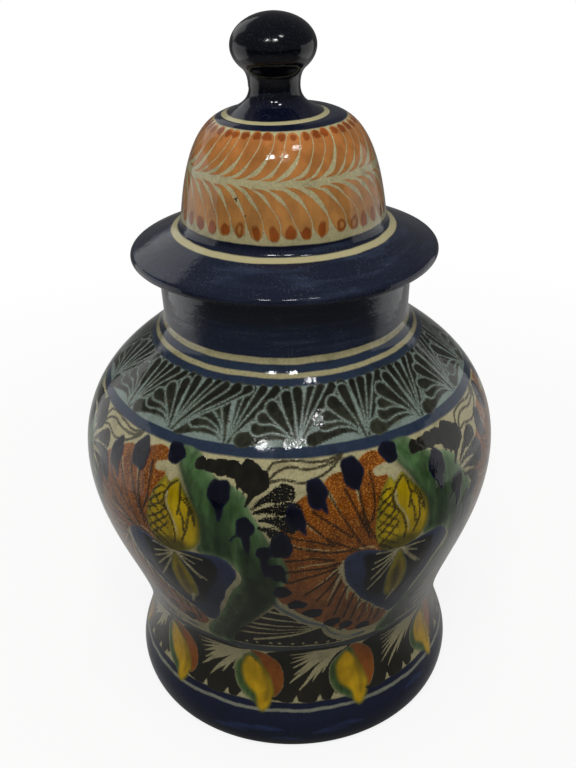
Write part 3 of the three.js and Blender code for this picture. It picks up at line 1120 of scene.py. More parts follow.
class Shader:
    """A material's nodes, written as expressions: each method adds nodes and returns an output."""

    def __init__(self, name: str) -> None:
        """Start an empty material.

        Args:
            name: Name of the material.
        """
        self.material = bpy.data.materials.new(name)
        self.material.use_nodes = True
        self.tree = self.material.node_tree
        self.tree.nodes.clear()

    def node(
        self, kind: str, inputs: dict[str | int, object], **settings: object
    ) -> bpy.types.Node:
        """Add a node, with its settings, and each input either linked or set.

        Args:
            kind: Type of the node.
            inputs: What goes into each input, by name or number.
            settings: The node's own settings.

        Returns:
            The node.
        """
        made = self.tree.nodes.new(kind)
        for name, value in settings.items():
            setattr(made, name, value)
        for key, value in inputs.items():
            if isinstance(value, bpy.types.NodeSocket):
                self.tree.links.new(value, made.inputs[key])
            else:
                made.inputs[key].default_value = value
        return made

    def math(self, operation: str, *values: float | Socket, clamp: bool = False) -> Socket:
        """Work out a sum, product or other arithmetic."""
        inputs = dict(enumerate(values))
        return self.node("ShaderNodeMath", inputs, operation=operation, use_clamp=clamp).outputs[0]

    @cached_property
    def place(self) -> Socket:
        """Place on the object, in metres."""
        return self.node("ShaderNodeTexCoord", {}).outputs["Object"]

    @cached_property
    def climb(self) -> Socket:
        """Climb up the outside, in metres, from the piece's UV map."""
        band = self.node("ShaderNodeUVMap", {}, uv_map="band").outputs["UV"]
        return self.node("ShaderNodeSeparateXYZ", {"Vector": band}).outputs["Y"]

    def noise(self, size: float, detail: float = 2.0, stretch: Point = (1.0, 1.0)) -> Socket:
        """Return noise from 0 to 1 with grains of a size in metres, stretched along and up.

        Args:
            size: Size of the grains.
            detail: How many finer grains are added.
            stretch: How much longer they are level and upright.

        Returns:
            The noise.
        """
        along, up = stretch
        vector = self.place
        if stretch != (1.0, 1.0):
            scale = (1 / along, 1 / along, 1 / up)
            vector = self.node("ShaderNodeMapping", {"Vector": vector, "Scale": scale}).outputs[0]
        inputs = {"Vector": vector, "Scale": 1.0 / size, "Detail": detail}
        return self.node("ShaderNodeTexNoise", inputs).outputs["Fac"]

    def step(self, value: Socket, low: float | Socket, high: float | Socket,
             to_low: float = 0.0, to_high: float = 1.0) -> Socket:
        """Rise smoothly from one value to another, as the given one goes from low to high."""
        inputs = dict(enumerate((value, low, high, to_low, to_high)))
        return self.node("ShaderNodeMapRange", inputs, interpolation_type="SMOOTHSTEP").outputs[0]

    def mix(self, factor: float | Socket, one: Color | Socket, two: Color | Socket,
            blend: str = "MIX") -> Socket:
        """Mix two colours."""
        inputs = {"Factor": factor, 6: one, 7: two}
        return self.node("ShaderNodeMix", inputs, data_type="RGBA", blend_type=blend).outputs[2]

    def shade(self, color: Socket, amount: Socket) -> Socket:
        """Multiply a colour by a number."""
        vector = self.node("ShaderNodeVectorMath", {0: color, "Scale": amount}, operation="SCALE")
        return vector.outputs[0]

    def depth(self, pigment: Pigment) -> Socket:
        """Return how deep inside a pigment's marks a place is, in millimetres."""
        return self.node("ShaderNodeAttribute", {}, attribute_name=pigment.value).outputs["Fac"]

    def stripes(self, edges: Sequence[tuple[float, Color]], waver: float, blur: float) -> Socket:
        """Colour rings by their climb.

        Args:
            edges: Climb in millimetres at which each colour starts, from the lowest up.
            waver: How far the edges stray, in millimetres.
            blur: Width over which one colour goes over into the next, in millimetres.

        Returns:
            The colour.
        """
        low, high = edges[0][0] - 1.0, edges[-1][0] + 1.0
        stray = self.math("MULTIPLY_ADD", self.noise(0.02, 3.0), 4 * waver * MM, -2 * waver * MM)
        at = self.math("ADD", self.climb, stray)
        scaled = self.math("MULTIPLY_ADD", at, 1 / (high - low) / MM, -low / (high - low))
        ramp = self.node("ShaderNodeValToRGB", {"Fac": scaled})
        stops = ramp.color_ramp.elements
        stops[0].color, stops[1].color = edges[0][1], edges[-1][1]
        for (_, below), (climb, above) in zip(edges[:-1], edges[1:]):
            for edge, color in ((climb - blur / 2, below), (climb + blur / 2, above)):
                stops.new((edge - low) / (high - low)).color = color
        return ramp.outputs["Color"]

    def glaze_waves(self) -> Socket:
        """Add up the waves of a thick glaze: long ones, ripples and a fine tremble.

        Returns:
            The height, in metres.
        """
        long = self.math("MULTIPLY", self.noise(0.030, 1.0), 0.5 * MM)
        ripples = self.math("MULTIPLY_ADD", self.noise(0.0045, 2.0), 0.12 * MM, long)
        return self.math("MULTIPLY_ADD", self.noise(0.0014, 1.0), 0.016 * MM, ripples)

    def finish(self, color: Socket, roughness: Socket, height: Socket) -> bpy.types.Material:
        """Put colour, roughness and relief in metres on one glossy surface.

        Args:
            color: Base colour.
            roughness: Roughness.
            height: Height of the relief, in metres.

        Returns:
            The finished material.
        """
        bump = self.node("ShaderNodeBump", {"Height": height, "Strength": 1.0, "Distance": 1.0})
        surface = self.node("ShaderNodeBsdfPrincipled", {
            "Base Color": color, "Roughness": roughness, "Normal": bump.outputs["Normal"],
            "IOR": GLAZE_IOR,
        })
        self.node("ShaderNodeOutputMaterial", {"Surface": surface.outputs["BSDF"]})
        return self.material


@dataclass(frozen=True)
class Wash:
    """How a pigment shows on the glaze.

    Attributes:
        low: Its colour low on the piece.
        high: Its colour high on the piece.
        edge: Its colour within a rim of its own edge, if not as high on the piece.
        rim: Width of that rim, in millimetres.
        soft: Half the width over which its edge runs out, in millimetres.
        grain: How far grains of the ground eat into it, low and high on the piece, in millimetres.
        size: Size of those grains, in millimetres.
        fill: Depth from which on it gets no denser, in millimetres.
        cover: How much of the ground it hides where it is densest.
        streak: How strongly it runs into lighter and darker streaks, up the piece.
        relief: Thickness with which it lies on the glaze, in millimetres.
    """

    low: Color
    high: Color
    edge: Color | None = None
    rim: float = 0.8
    soft: float = 0.2
    grain: Point = (0.25, 0.25)
    size: float = 0.9
    fill: float = 3.0
    cover: float = 1.0
    streak: float = 0.12
    relief: float = 0.04

    @classmethod
    def even(cls, color: Color, edge: Color | None = None, rim: float = 0.8,
             **rest: float | Point) -> "Wash":
        """Return a wash of one colour low and high."""
        return cls(color, color, edge, rim, **rest)

    def lay(self, shader: Shader, pigment: Pigment, high: Socket) -> tuple[Socket, Socket]:
        """Work out how much of the ground the pigment hides, and its own colour.

        The cover rises with the depth inside the mark, out of which grains of noise are eaten:
        beyond the fill they go on leaving a speck of ground here and there.

        Args:
            shader: The material's nodes.
            pigment: The pigment.
            high: How far up the piece a place is, from 0 to 1.

        Returns:
            The cover, from 0 to 1, and the colour.
        """
        depth = shader.depth(pigment)
        shallow = shader.math("MINIMUM", depth, self.fill)
        spread = shader.step(high, 0.0, 1.0, *self.grain)
        grains = shader.math("MULTIPLY_ADD", shader.noise(self.size * MM, 1.0), 4.0, -2.0)
        eaten = shader.math("MULTIPLY_ADD", grains, spread, shallow)
        cover = shader.step(eaten, -self.soft, self.soft, 0.0, self.cover)
        tint = shader.mix(high, self.low, self.high)
        tint = shader.mix(shader.step(depth, 0.0, self.rim), self.edge or self.high, tint)
        runs = shader.noise(0.004, 3.0, stretch=(1.0, 5.0))
        tint = shader.shade(tint, shader.step(runs, 0.3, 0.7, 1 - self.streak, 1 + self.streak))
        return cover, tint


@dataclass(frozen=True)
class PaintedGlaze:
    """Glossy tin glaze with rings of colour and painted marks under it.

    Attributes:
        name: Name of the material.
        rings: Climb in millimetres at which each ring of ground colour starts, and its colour.
        washes: How each pigment on the piece shows, in any order.
        span: Climbs, in millimetres, between which the washes go from low to high.
        waver: How far the edges of the rings stray, in millimetres.
        gloss: Least and most roughness.
    """

    name: str
    rings: tuple[tuple[float, Color], ...]
    washes: dict[Pigment, Wash] = field(default_factory=dict)
    span: Point = (0.0, 1.0)
    waver: float = 0.4
    gloss: Point = (0.05, 0.13)

    def material(self) -> bpy.types.Material:
        """Make the material: ground, marks in the painter's order, specks, and relief.

        Returns:
            The material.
        """
        shader = Shader(self.name)
        color = shader.stripes(self.rings, self.waver, blur=0.7)
        grains = shader.noise(0.0012, 2.0)
        color = shader.shade(color, shader.step(grains, 0.3, 0.7, 0.86, 1.10))
        stain = shader.step(shader.noise(0.009, 4.0), 0.50, 0.72, 0.0, 0.30)
        color = shader.mix(stain, color, srgb(92, 86, 58), blend="MULTIPLY")
        clouds = shader.noise(0.012, 3.0)
        high = shader.step(shader.climb, self.span[0] * MM, self.span[1] * MM)
        height = shader.glaze_waves()
        for pigment in Pigment:
            if pigment not in self.washes:
                continue
            wash = self.washes[pigment]
            cover, tint = wash.lay(shader, pigment, high)
            tint = shader.shade(tint, shader.step(clouds, 0.3, 0.7, 0.82, 1.18))
            color = shader.mix(cover, color, tint)
            height = shader.math("MULTIPLY_ADD", cover, wash.relief * MM, height)
        speck = shader.step(shader.noise(0.004, 4.0), 0.71, 0.75)
        color = shader.mix(speck, color, srgb(62, 46, 30))
        rough = shader.step(clouds, 0.25, 0.75, *self.gloss)
        return shader.finish(color, rough, height)


@dataclass(frozen=True)
class CobaltGlaze:
    """Dark blue glaze, brushed on round the piece, with pale specks where it lies thin.

    Attributes:
        name: Name of the material.
        rings: Climb at which each ring of colour starts, in millimetres, and its colour.
        thin: Colour to which the glaze thins along the brush marks.
        streak: How strongly it thins there, from 0 to 1.
        specks: How strongly the pale specks show, from 0 to 1.
        gloss: Least and most roughness.
    """

    name: str
    rings: tuple[tuple[float, Color], ...]
    thin: Color = srgb(52, 62, 84)
    streak: float = 0.55
    specks: float = 0.3
    gloss: Point = (0.06, 0.14)

    def material(self) -> bpy.types.Material:
        """Make the material.

        Returns:
            The material.
        """
        shader = Shader(self.name)
        ground = shader.stripes(self.rings, waver=0.4, blur=0.7)
        brushed = shader.noise(0.006, 3.0, stretch=(6.0, 0.5))
        clouds = shader.noise(0.02, 3.0)
        thinned = shader.math("MULTIPLY", shader.step(brushed, 0.45, 0.75), self.streak)
        thinned = shader.math("MULTIPLY", thinned, shader.step(clouds, 0.35, 0.65, 0.25, 1.0))
        color = shader.mix(thinned, ground, self.thin, blend="LIGHTEN")
        speck = shader.step(shader.noise(0.0010, 2.0), 0.56, 0.70)
        speck = shader.math("MULTIPLY", speck, shader.step(clouds, 0.4, 0.7, 0.1, self.specks))
        color = shader.mix(speck, color, srgb(86, 92, 96), blend="LIGHTEN")
        rough = shader.step(clouds, 0.25, 0.75, *self.gloss)
        throwing = shader.math("MULTIPLY", brushed, 0.05 * MM)
        height = shader.math("ADD", shader.glaze_waves(), throwing)
        return shader.finish(color, rough, height)


@dataclass(frozen=True)
class BareClay:
    """Fired earthenware without glaze: matt, grainy, with throwing rings and a little grog."""

    name: str = "bare_clay"
    pale: Color = srgb(196, 148, 108)
    deep: Color = srgb(160, 108, 74)

    def material(self) -> bpy.types.Material:
        """Make the material.

        Returns:
            The material.
        """
        shader = Shader(self.name)
        color = shader.mix(shader.step(shader.noise(0.03, 4.0), 0.35, 0.65), self.pale, self.deep)
        grog = shader.step(shader.noise(0.0016, 2.0), 0.66, 0.72)
        color = shader.mix(grog, color, srgb(96, 62, 44))
        rings = shader.math("MULTIPLY", shader.noise(0.004, 2.0, stretch=(9.0, 1.0)), 0.25 * MM)
        height = shader.math("MULTIPLY_ADD", shader.noise(0.0012, 3.0), 0.12 * MM, rings)
        rough = shader.step(grog, 0.0, 1.0, 0.86, 0.7)
        return shader.finish(color, rough, height)


@dataclass(frozen=True)
class LiningGlaze:
    """Plain cream glaze on the inside, with throwing rings showing through."""

    name: str = "cream_lining"
    cream: Color = srgb(186, 176, 138)
    ochre: Color = srgb(158, 142, 100)

    def material(self) -> bpy.types.Material:
        """Make the material.

        Returns:
            The material.
        """
        shader = Shader(self.name)
        color = shader.mix(shader.step(shader.noise(0.02, 4.0), 0.4, 0.7), self.cream, self.ochre)
        speck = shader.step(shader.noise(0.003, 3.0), 0.70, 0.75)
        color = shader.mix(speck, color, srgb(92, 70, 46))
        rings = shader.math("MULTIPLY", shader.noise(0.006, 1.0, stretch=(12.0, 1.0)), 0.6 * MM)
        rough = shader.step(shader.noise(0.015, 2.0), 0.3, 0.7, 0.16, 0.3)
        return shader.finish(color, rough, rings)


CREAM = srgb(164, 156, 118)
NAVY = srgb(19, 24, 40)
STEM_NAVY = srgb(8, 11, 28)
DEEP_NAVY = srgb(2, 3, 11)
LINE_BLUE = srgb(36, 48, 66)
GREY_BLUE = srgb(116, 130, 122)
WAIST_GREY = srgb(66, 70, 72)
PALE_GREY = srgb(128, 130, 116)
FOOT_NAVY = srgb(18, 26, 50)
NECK_NAVY = srgb(12, 26, 48)


def carry(piece: bpy.types.Object, body: str) -> None:
    """Let a piece stand for the node it is named after.

    Args:
        piece: The piece.
        body: Body that it rides on.
    """
    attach(piece, body)
    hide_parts(piece.name.removeprefix("thrown_"))
    LOG.info("%s: %d faces on %s", piece.name, len(piece.data.polygons), body)


@dataclass
class Ware:
    """What the jar and the lid share: the laps of their pieces, and their clay and lining."""

    materials: dict[Coat, bpy.types.Material]
    slip: float = 0.3
    tongue: float = 3.0

    def wear(self, glaze: PaintedGlaze | CobaltGlaze) -> dict[Coat, bpy.types.Material]:
        """Return the coats of a piece: its own glaze outside, and the shared lining and clay."""
        return {**self.materials, Coat.PAINTED: glaze.material()}


@dataclass
class Jar(Ware):
    """The jar: five thrown pieces, glazed as one, with three painted bands.

    The seams and widest radii come from the frame; the fields are what it doesn't show.
    """

    wall: float = 8.0
    foot_rise: float = 18.0
    heel_tuck: float = 9.0
    waist_tuck: float = 7.6
    waist_rise: float = 38.0
    belly_rise: float = 106.5
    lip_rounding: float = 1.5
    floor_recess: float = 2.0
    ring_width: float = 13.0
    unpainted_heel: float = 2.0
    neck_taper: float = 1.5
    under_ring: float = 40.0
    floor_ring: float = 60.0
    runs_upright: tuple[float, ...] = (11.0, 20.0, 31.0, 40.0, 54.0, 16.0)
    sway: Sway = field(default_factory=Sway)

    def __post_init__(self) -> None:
        """Read the seams off the frame, and walk the outline from the foot ring to the mouth."""
        foot, self.base_seam, _ = extent("foot_wall")
        belly, self.foot_seam, _ = extent("belly_wall")
        _, self.belly_seam, _ = extent("shoulder_wall")
        self.mouth_radius, self.neck_seam, self.mouth = extent("neck_collar")
        _, _, self.floor = extent("base_slab")
        neck = self.mouth_radius - self.neck_taper
        waist_level = self.foot_rise + self.waist_rise
        stations = [
            (foot, self.foot_rise),
            (foot - self.waist_tuck, waist_level),
            (belly, waist_level + self.belly_rise),
            (neck, self.neck_seam),
        ]
        chain = [self._heel(foot)]
        for (r0, z0), (r1, z1), low, high in zip(
            stations[:-1], stations[1:], self.runs_upright[::2], self.runs_upright[1::2]
        ):
            chain.append(bezier((r0, z0), (r0, z0 + low), (r1, z1 - high), (r1, z1))[1:])
        chain.append(np.array([(self.mouth_radius, self.mouth)]))
        self.outline = respaced(np.concatenate(chain), 0.1)
        self.length = lengths_along(self.outline) - self.unpainted_heel

    def _heel(self, foot: float) -> Array:
        """Draw a quarter of an upright ellipse, from the foot ring's edge to the widest foot."""
        turn, tuck, rise = np.linspace(-np.pi / 2, 0.0, 40), self.heel_tuck, self.foot_rise
        return np.stack([foot - tuck + tuck * np.cos(turn), rise * (1 + np.sin(turn))], -1)

    def radius(self, level: Array | float) -> Array:
        """Return the outer radius at a level."""
        return np.interp(level, self.outline[:, 1], self.outline[:, 0])

    def climb(self, level: Array | float) -> Array:
        """Return the climb at a level."""
        return np.interp(level, self.outline[:, 1], self.length)

    def bore(self, level: Array | float) -> Array:
        """Return the inner radius: the wall is as thick square to its surface everywhere."""
        above, below = self.radius(np.add(level, STEP)), self.radius(np.subtract(level, STEP))
        return self.radius(level) - self.wall * np.hypot(1.0, (above - below) / (2 * STEP))

    def tongue_radius(self, level: float) -> float:
        """Return the radius of the upright face of the lap at a seam."""
        return float(self.bore(level)) + (self.wall - self.slip) / 2

    def outside(self, low: float, high: float, spacing: float) -> Array:
        """Return the outline between two levels at a spacing along it.

        Args:
            low: Lower level.
            high: Upper level.
            spacing: The spacing.

        Returns:
            The points.
        """
        between = (self.outline[:, 1] > low + 1e-6) & (self.outline[:, 1] < high - 1e-6)
        ends = [(float(self.radius(level)), level) for level in (low, high)]
        return respaced(np.concatenate([ends[:1], self.outline[between], ends[1:]]), spacing)

    def socket(self, seam: float) -> list[Point]:
        """Return the step inside the foot of a piece, where it laps over the tongue below.

        Args:
            seam: Level of the seam.

        Returns:
            Its three corners, from inside.
        """
        top = seam + self.tongue + self.slip
        lap = self.tongue_radius(seam) + self.slip
        return [(float(self.bore(top)), top), (lap, top), (lap, seam)]

    def wall_runs(self, low: float, high: float, spacing: float) -> list[Run]:
        """Return the runs of a ring of wall: outside, tongue, lining, and the socket below.

        Args:
            low: Level of its foot, outside.
            high: Level of its top, outside.
            spacing: Distance between the rings outside.

        Returns:
            The runs.
        """
        outside = self.outside(low, high, spacing)
        tongue, top = self.tongue_radius(high), high + self.tongue
        levels = np.linspace(top, low + self.tongue + self.slip, 9)
        socket = self.socket(low)
        return [
            Run(Coat.PAINTED, outside),
            Run(Coat.CLAY, [tuple(outside[-1]), (tongue, high), (tongue, top),
                            (float(self.bore(top)), top)]),
            Run(Coat.LINING, np.stack([self.bore(levels), levels], -1)),
            Run(Coat.CLAY, [*socket, tuple(outside[0])]),
        ]

    def base_slab(self) -> None:
        """Build the floor: a stepped disc on a foot ring, glazed only on its heel."""
        ring = self.radius(0.0) - self.ring_width
        tongue = self.tongue_radius(self.base_seam)
        heel = self.outside(0.0, self.base_seam, 1.0)
        under = [(0.0, self.floor_recess), (self.under_ring, self.floor_recess),
                 (ring - self.floor_recess, self.floor_recess), (ring, 0.0), tuple(heel[0])]
        piece = TurnedPiece("base_slab", [
            Run(Coat.CLAY, under),
            Run(Coat.PAINTED, heel),
            Run(Coat.CLAY, [tuple(heel[-1]), (tongue, self.base_seam), (tongue, self.floor)]),
            Run(Coat.LINING, [(tongue, self.floor), (self.floor_ring, self.floor),
                              (0.0, self.floor)]),
        ], 360, self.sway, first_climb=-self.unpainted_heel - lengths_along(np.array(under))[-1])
        glaze = CobaltGlaze("navy_heel", ((0, NAVY), (1, NAVY)))
        carry(piece.build(self.wear(glaze)), "jar")

    def painted_wall(self, name: str, levels: Point, columns: int, spacing: float,
                     band: FootBand | FlowerBand | LeafBand, tremor: float,
                     glaze: PaintedGlaze, slot: str) -> None:
        """Build a ring of the wall and paint its band.

        Args:
            name: Name of the node it stands for.
            levels: Its lowest and highest level outside.
            columns: Number of columns round it.
            spacing: Distance between its rings.
            band: Motifs painted on it.
            tremor: How far the painter's hand strays.
            glaze: Its glaze.
            slot: Name of a slot for its finish; not used.
        """
        runs = self.wall_runs(*levels, spacing)
        start = float(self.climb(levels[0]))
        turned = TurnedPiece(name, runs, columns, self.sway, first_climb=start)
        rows = len(runs[0].points)
        canvas = Canvas(turned.turns, turned.climbs[:rows], band.reach, tremor, seed=columns)
        band.paint(Brush(canvas, np.random.default_rng(columns)))
        piece = turned.build(self.wear(glaze))
        turned.paint(piece, canvas)
        carry(piece, "jar")

    def foot_wall(self) -> None:
        """Build the bulging foot and the waist."""
        rings = ((0, FOOT_NAVY), (31.6, PALE_GREY), (33.6, FOOT_NAVY), (37.6, CREAM),
                 (74.6, WAIST_GREY), (80, CREAM))
        washes = {
            Pigment.SKY: Wash.even(srgb(46, 62, 104), soft=1.2, cover=0.5),
            Pigment.ORANGE: Wash.even(
                srgb(134, 74, 22), srgb(116, 60, 16), soft=0.7, grain=(0.3, 0.3)),
            Pigment.GREEN: Wash.even(
                srgb(58, 82, 42), srgb(86, 104, 62), 3.0, soft=1.2, streak=0.3),
            Pigment.YELLOW: Wash.even(srgb(186, 146, 8), srgb(132, 118, 24), 2.4, soft=1.3),
            Pigment.SHADE: Wash.even(srgb(98, 88, 16), soft=1.5, cover=0.55),
            Pigment.DARK: Wash.even(
                srgb(30, 29, 20), srgb(44, 42, 30), soft=0.35, grain=(0.2, 0.2), size=1.0),
        }
        glaze = PaintedGlaze("foot_glaze", rings, washes, waver=0.9)
        self.painted_wall("foot_wall", (self.base_seam, self.foot_seam), 800, 0.68,
                          FootBand(), 0.7, glaze, "foot_band_glaze")

    def belly_wall(self) -> None:
        """Build the widest section, with the flowers."""
        rings = ((70, WAIST_GREY), (79.6, CREAM), (215.1, LINE_BLUE), (222, LINE_BLUE))
        washes = {
            Pigment.SKY: Wash(
                srgb(96, 104, 104), srgb(106, 112, 108), srgb(120, 122, 108), soft=0.8),
            Pigment.OCHRE: Wash(srgb(154, 112, 66), srgb(168, 112, 42), soft=0.6),
            Pigment.ORANGE: Wash(
                srgb(128, 78, 40), srgb(108, 54, 6), srgb(122, 68, 16), soft=0.35, grain=(0.4, 0.9),
                size=0.7, fill=0.35, streak=0.25),
            Pigment.GREEN: Wash(
                srgb(60, 70, 48), srgb(60, 86, 50), srgb(90, 112, 76), 5.0, soft=0.9, streak=0.35),
            Pigment.YELLOW: Wash(
                srgb(150, 128, 36), srgb(168, 142, 8), srgb(120, 114, 28), 3.4, soft=0.8,
                streak=0.2),
            Pigment.SHADE: Wash(srgb(30, 36, 22), srgb(22, 40, 20), soft=2.6, cover=0.75),
            Pigment.COBALT: Wash(
                srgb(42, 48, 62), srgb(46, 56, 82), srgb(58, 66, 88), 3.0, soft=0.5),
            Pigment.NIGHT: Wash(srgb(30, 30, 28), srgb(24, 26, 24), soft=1.8),
            Pigment.LINE: Wash(
                srgb(54, 44, 28), srgb(32, 27, 14), soft=0.35, grain=(0.2, 0.35),
                size=0.8, cover=0.9),
            Pigment.PLUME: Wash.even(
                srgb(16, 16, 12), srgb(24, 23, 16), grain=(0.8, 0.8), size=0.7, fill=0.6),
            Pigment.DARK: Wash(
                srgb(36, 35, 28), srgb(22, 21, 14), srgb(30, 28, 18), grain=(0.25, 0.35), size=0.8,
                fill=1.0, streak=0.35),
            Pigment.DAB: Wash(
                srgb(30, 32, 38), srgb(5, 7, 22), srgb(18, 22, 40), 1.4, soft=0.5, streak=0.3,
                relief=0.10),
            Pigment.CREAM: Wash(srgb(150, 146, 118), CREAM, soft=0.4),
        }
        glaze = PaintedGlaze("belly_glaze", rings, washes, span=(105.0, 185.0))
        self.painted_wall("belly_wall", (self.foot_seam, self.belly_seam), 660, 1.09,
                          FlowerBand(), 1.0, glaze, "main_band_glaze")

    def shoulder_wall(self) -> None:
        """Build the shoulder, with the fans of leaves."""
        rings = ((215, LINE_BLUE), (221, GREY_BLUE), (252.9, LINE_BLUE), (257.4, CREAM),
                 (260.1, LINE_BLUE), (264.6, CREAM), (268, NAVY))
        washes = {
            Pigment.DARK: Wash(
                srgb(40, 42, 32), srgb(22, 23, 16), srgb(62, 66, 54), 1.2, soft=0.35,
                grain=(0.55, 0.55), size=0.7, fill=1.1, streak=0.4),
        }
        glaze = PaintedGlaze("shoulder_glaze", rings, washes, span=(221.0, 254.0))
        self.painted_wall("shoulder_wall", (self.belly_seam, self.neck_seam), 900, 0.52,
                          LeafBand(), 0.5, glaze, "leaf_band_glaze")

    def neck_collar(self) -> None:
        """Build the neck, whose lip is left bare where the lid sits."""
        rounding = self.lip_rounding
        bore = self.mouth_radius - self.wall
        edge = self.mouth - rounding
        outer = arc((self.mouth_radius - rounding, edge), rounding, 0, 90, 6)
        inner = arc((bore + rounding, edge), rounding, 90, 180, 6)
        root = (float(self.radius(self.neck_seam)), self.neck_seam)
        outside = respaced(np.array([root, tuple(outer[0])]), 1.2)
        socket = self.socket(self.neck_seam)
        lining = respaced(np.array([tuple(inner[-1]), socket[0]]), 4.0)
        turned = TurnedPiece("neck_collar", [
            Run(Coat.PAINTED, np.concatenate([outside, outer[1:4]])),
            Run(Coat.CLAY, np.concatenate([outer[3:], inner[:4]])),
            Run(Coat.LINING, np.concatenate([inner[3:], lining[1:]])),
            Run(Coat.CLAY, [*socket, root]),
        ], 360, self.sway, first_climb=float(self.climb(self.neck_seam)))
        glaze = CobaltGlaze("navy_neck", ((265, CREAM), (268, NECK_NAVY), (272, NECK_NAVY)))
        carry(turned.build(self.wear(glaze)), "jar")

    def build(self) -> None:
        """Build the five pieces from the floor up."""
        self.base_slab()
        self.foot_wall()
        self.belly_wall()
        self.shoulder_wall()
        self.neck_collar()


@dataclass
class Lid(Ware):
    """The lid: brim, collar and bell, and the stem and knob of its finial."""

    wall: float = 7.0
    edge: float = 6.0
    fillet: float = 5.0
    seat_margin: float = 2.0
    stiff: float = 72.0
    bell_upright: float = 28.0
    bell_taper: float = 3.0
    crown_radius: float = 31.0
    crown_reach: float = 15.0
    crown_drop: float = 5.0
    crown_ring: float = 26.0
    bare_crown: float = 21.0
    collar_wall: float = 6.0
    offset: float = -2.9
    stem_radius: float = 13.5
    stem_bore: float = 5.0
    knob_height: float = 32.0
    knob_wall: float = 7.0
    throat_spread: float = 12.0
    sway: Sway = field(default_factory=lambda: Sway(depth=0.4, phase=2.2))
    knob_sway: Sway = field(default_factory=lambda: Sway(depth=0.3, phase=1.1))

    def __post_init__(self) -> None:
        """Read the seams and radii off the frame."""
        mouth_radius, _, self.mouth = extent("neck_collar")
        self.brim_radius, self.rim, _ = extent("lid_brim")
        self.bell_radius, self.bell_seam, _ = extent("lid_bell")
        self.collar_radius, self.collar_foot, _ = extent("locating_collar")
        stem_reach, self.crown, _ = extent("finial_stem")
        knob_reach, self.stem_top, self.top = extent("finial_knob")
        self.seat_radius = mouth_radius + self.seat_margin
        self.stem_foot = stem_reach - self.offset
        self.knob_radius = knob_reach - self.offset
        self.bell_bore = self.bell_radius - self.wall
        self.bell_tongue = self.bell_bore + (self.wall - self.slip) / 2
        self.collar_bore = self.collar_radius - self.collar_wall
        self.collar_tongue = self.collar_bore + (self.collar_wall - self.slip) / 2
        self.stem_tongue = self.stem_bore + (self.stem_radius - self.stem_bore - self.slip) / 2

    def brim_warp(self, turn: Array, radius: Array) -> Array:
        """Lift and drop the brim's free edge a little, as two waves round it."""
        free = np.clip((radius - self.stiff) / (self.brim_radius - self.stiff), 0.0, 1.0)
        return free * (0.35 * np.cos(2 * turn + 0.7) + 0.2 * np.cos(3 * turn + 2.0))

    def lid_brim(self) -> None:
        """Build the brim: bare seat, drooping rolled edge, sloping top and fillet up the bell."""
        roll = self.edge / 2
        seat = (self.seat_radius, self.mouth)
        curl = (self.brim_radius - roll, self.rim + roll)
        root = (self.bell_radius + self.fillet, self.bell_seam)
        under = tangent_fall((*seat, 0.0), (*curl, -roll))
        over = tangent_fall((*root, self.fillet), (*curl, roll))
        edge = arc(curl, roll, -90 - under, 90 - over, 20)
        fillet = arc(root, self.fillet, 270 - over, 180, 12)
        below = respaced(np.array([seat, tuple(edge[0])]), 1.5)
        top = respaced(np.array([tuple(edge[-1]), tuple(fillet[0])]), 1.5)
        inner = self.collar_tongue + self.slip
        high = self.mouth + self.tongue + self.slip
        painted = np.concatenate([below[:-1], edge, top[1:-1], fillet])
        up = lengths_along(np.array([(inner, self.mouth), *painted]))[-1]
        turned = TurnedPiece("lid_brim", [
            Run(Coat.CLAY, [(inner, self.mouth), seat]),
            Run(Coat.PAINTED, painted),
            Run(Coat.CLAY, [
                (self.bell_radius, self.bell_seam), (self.bell_tongue, self.bell_seam),
                (self.bell_tongue, self.bell_seam + self.tongue),
                (self.bell_bore, self.bell_seam + self.tongue)]),
            Run(Coat.LINING, [
                (self.bell_bore, self.bell_seam + self.tongue), (self.bell_bore, high)]),
            Run(Coat.CLAY, [(self.bell_bore, high), (inner, high), (inner, self.mouth)]),
        ], 480, self.sway, first_climb=-float(up), warp=self.brim_warp)
        rings = ((-60, NAVY), (-8.4, CREAM), (-4.4, NAVY), (0, NAVY))
        glaze = CobaltGlaze("navy_brim", rings)
        carry(turned.build(self.wear(glaze)), "lid")

    def locating_collar(self) -> None:
        """Build the bare collar that finds the mouth."""
        top = self.mouth + self.tongue
        outer = respaced(np.array([(self.collar_radius, self.collar_foot),
                                   (self.collar_radius, self.mouth)]), 2.0)
        inner = respaced(np.array([(self.collar_bore, top), (self.collar_bore, self.collar_foot)]),
                         2.0)
        turned = TurnedPiece("locating_collar", [
            Run(Coat.CLAY, [*outer, (self.collar_tongue, self.mouth), (self.collar_tongue, top),
                            *inner, tuple(outer[0])]),
        ], 240, self.sway)
        carry(turned.build(self.materials), "lid")

    def bell_curve(self, start: float, inset: float) -> Array:
        """Draw the side of the bell, or its lining: upright, then over to the top.

        Args:
            start: Level of its foot.
            inset: How far it is set in, which for the lining is the wall.

        Returns:
            Its points.
        """
        radius = self.bell_radius - inset
        return bezier(
            (radius, start),
            (radius - self.bell_taper, self.bell_seam + self.bell_upright - inset),
            (self.crown_radius + self.crown_reach - inset, self.crown - self.crown_drop - inset),
            (self.crown_radius - inset, self.crown - inset),
        )

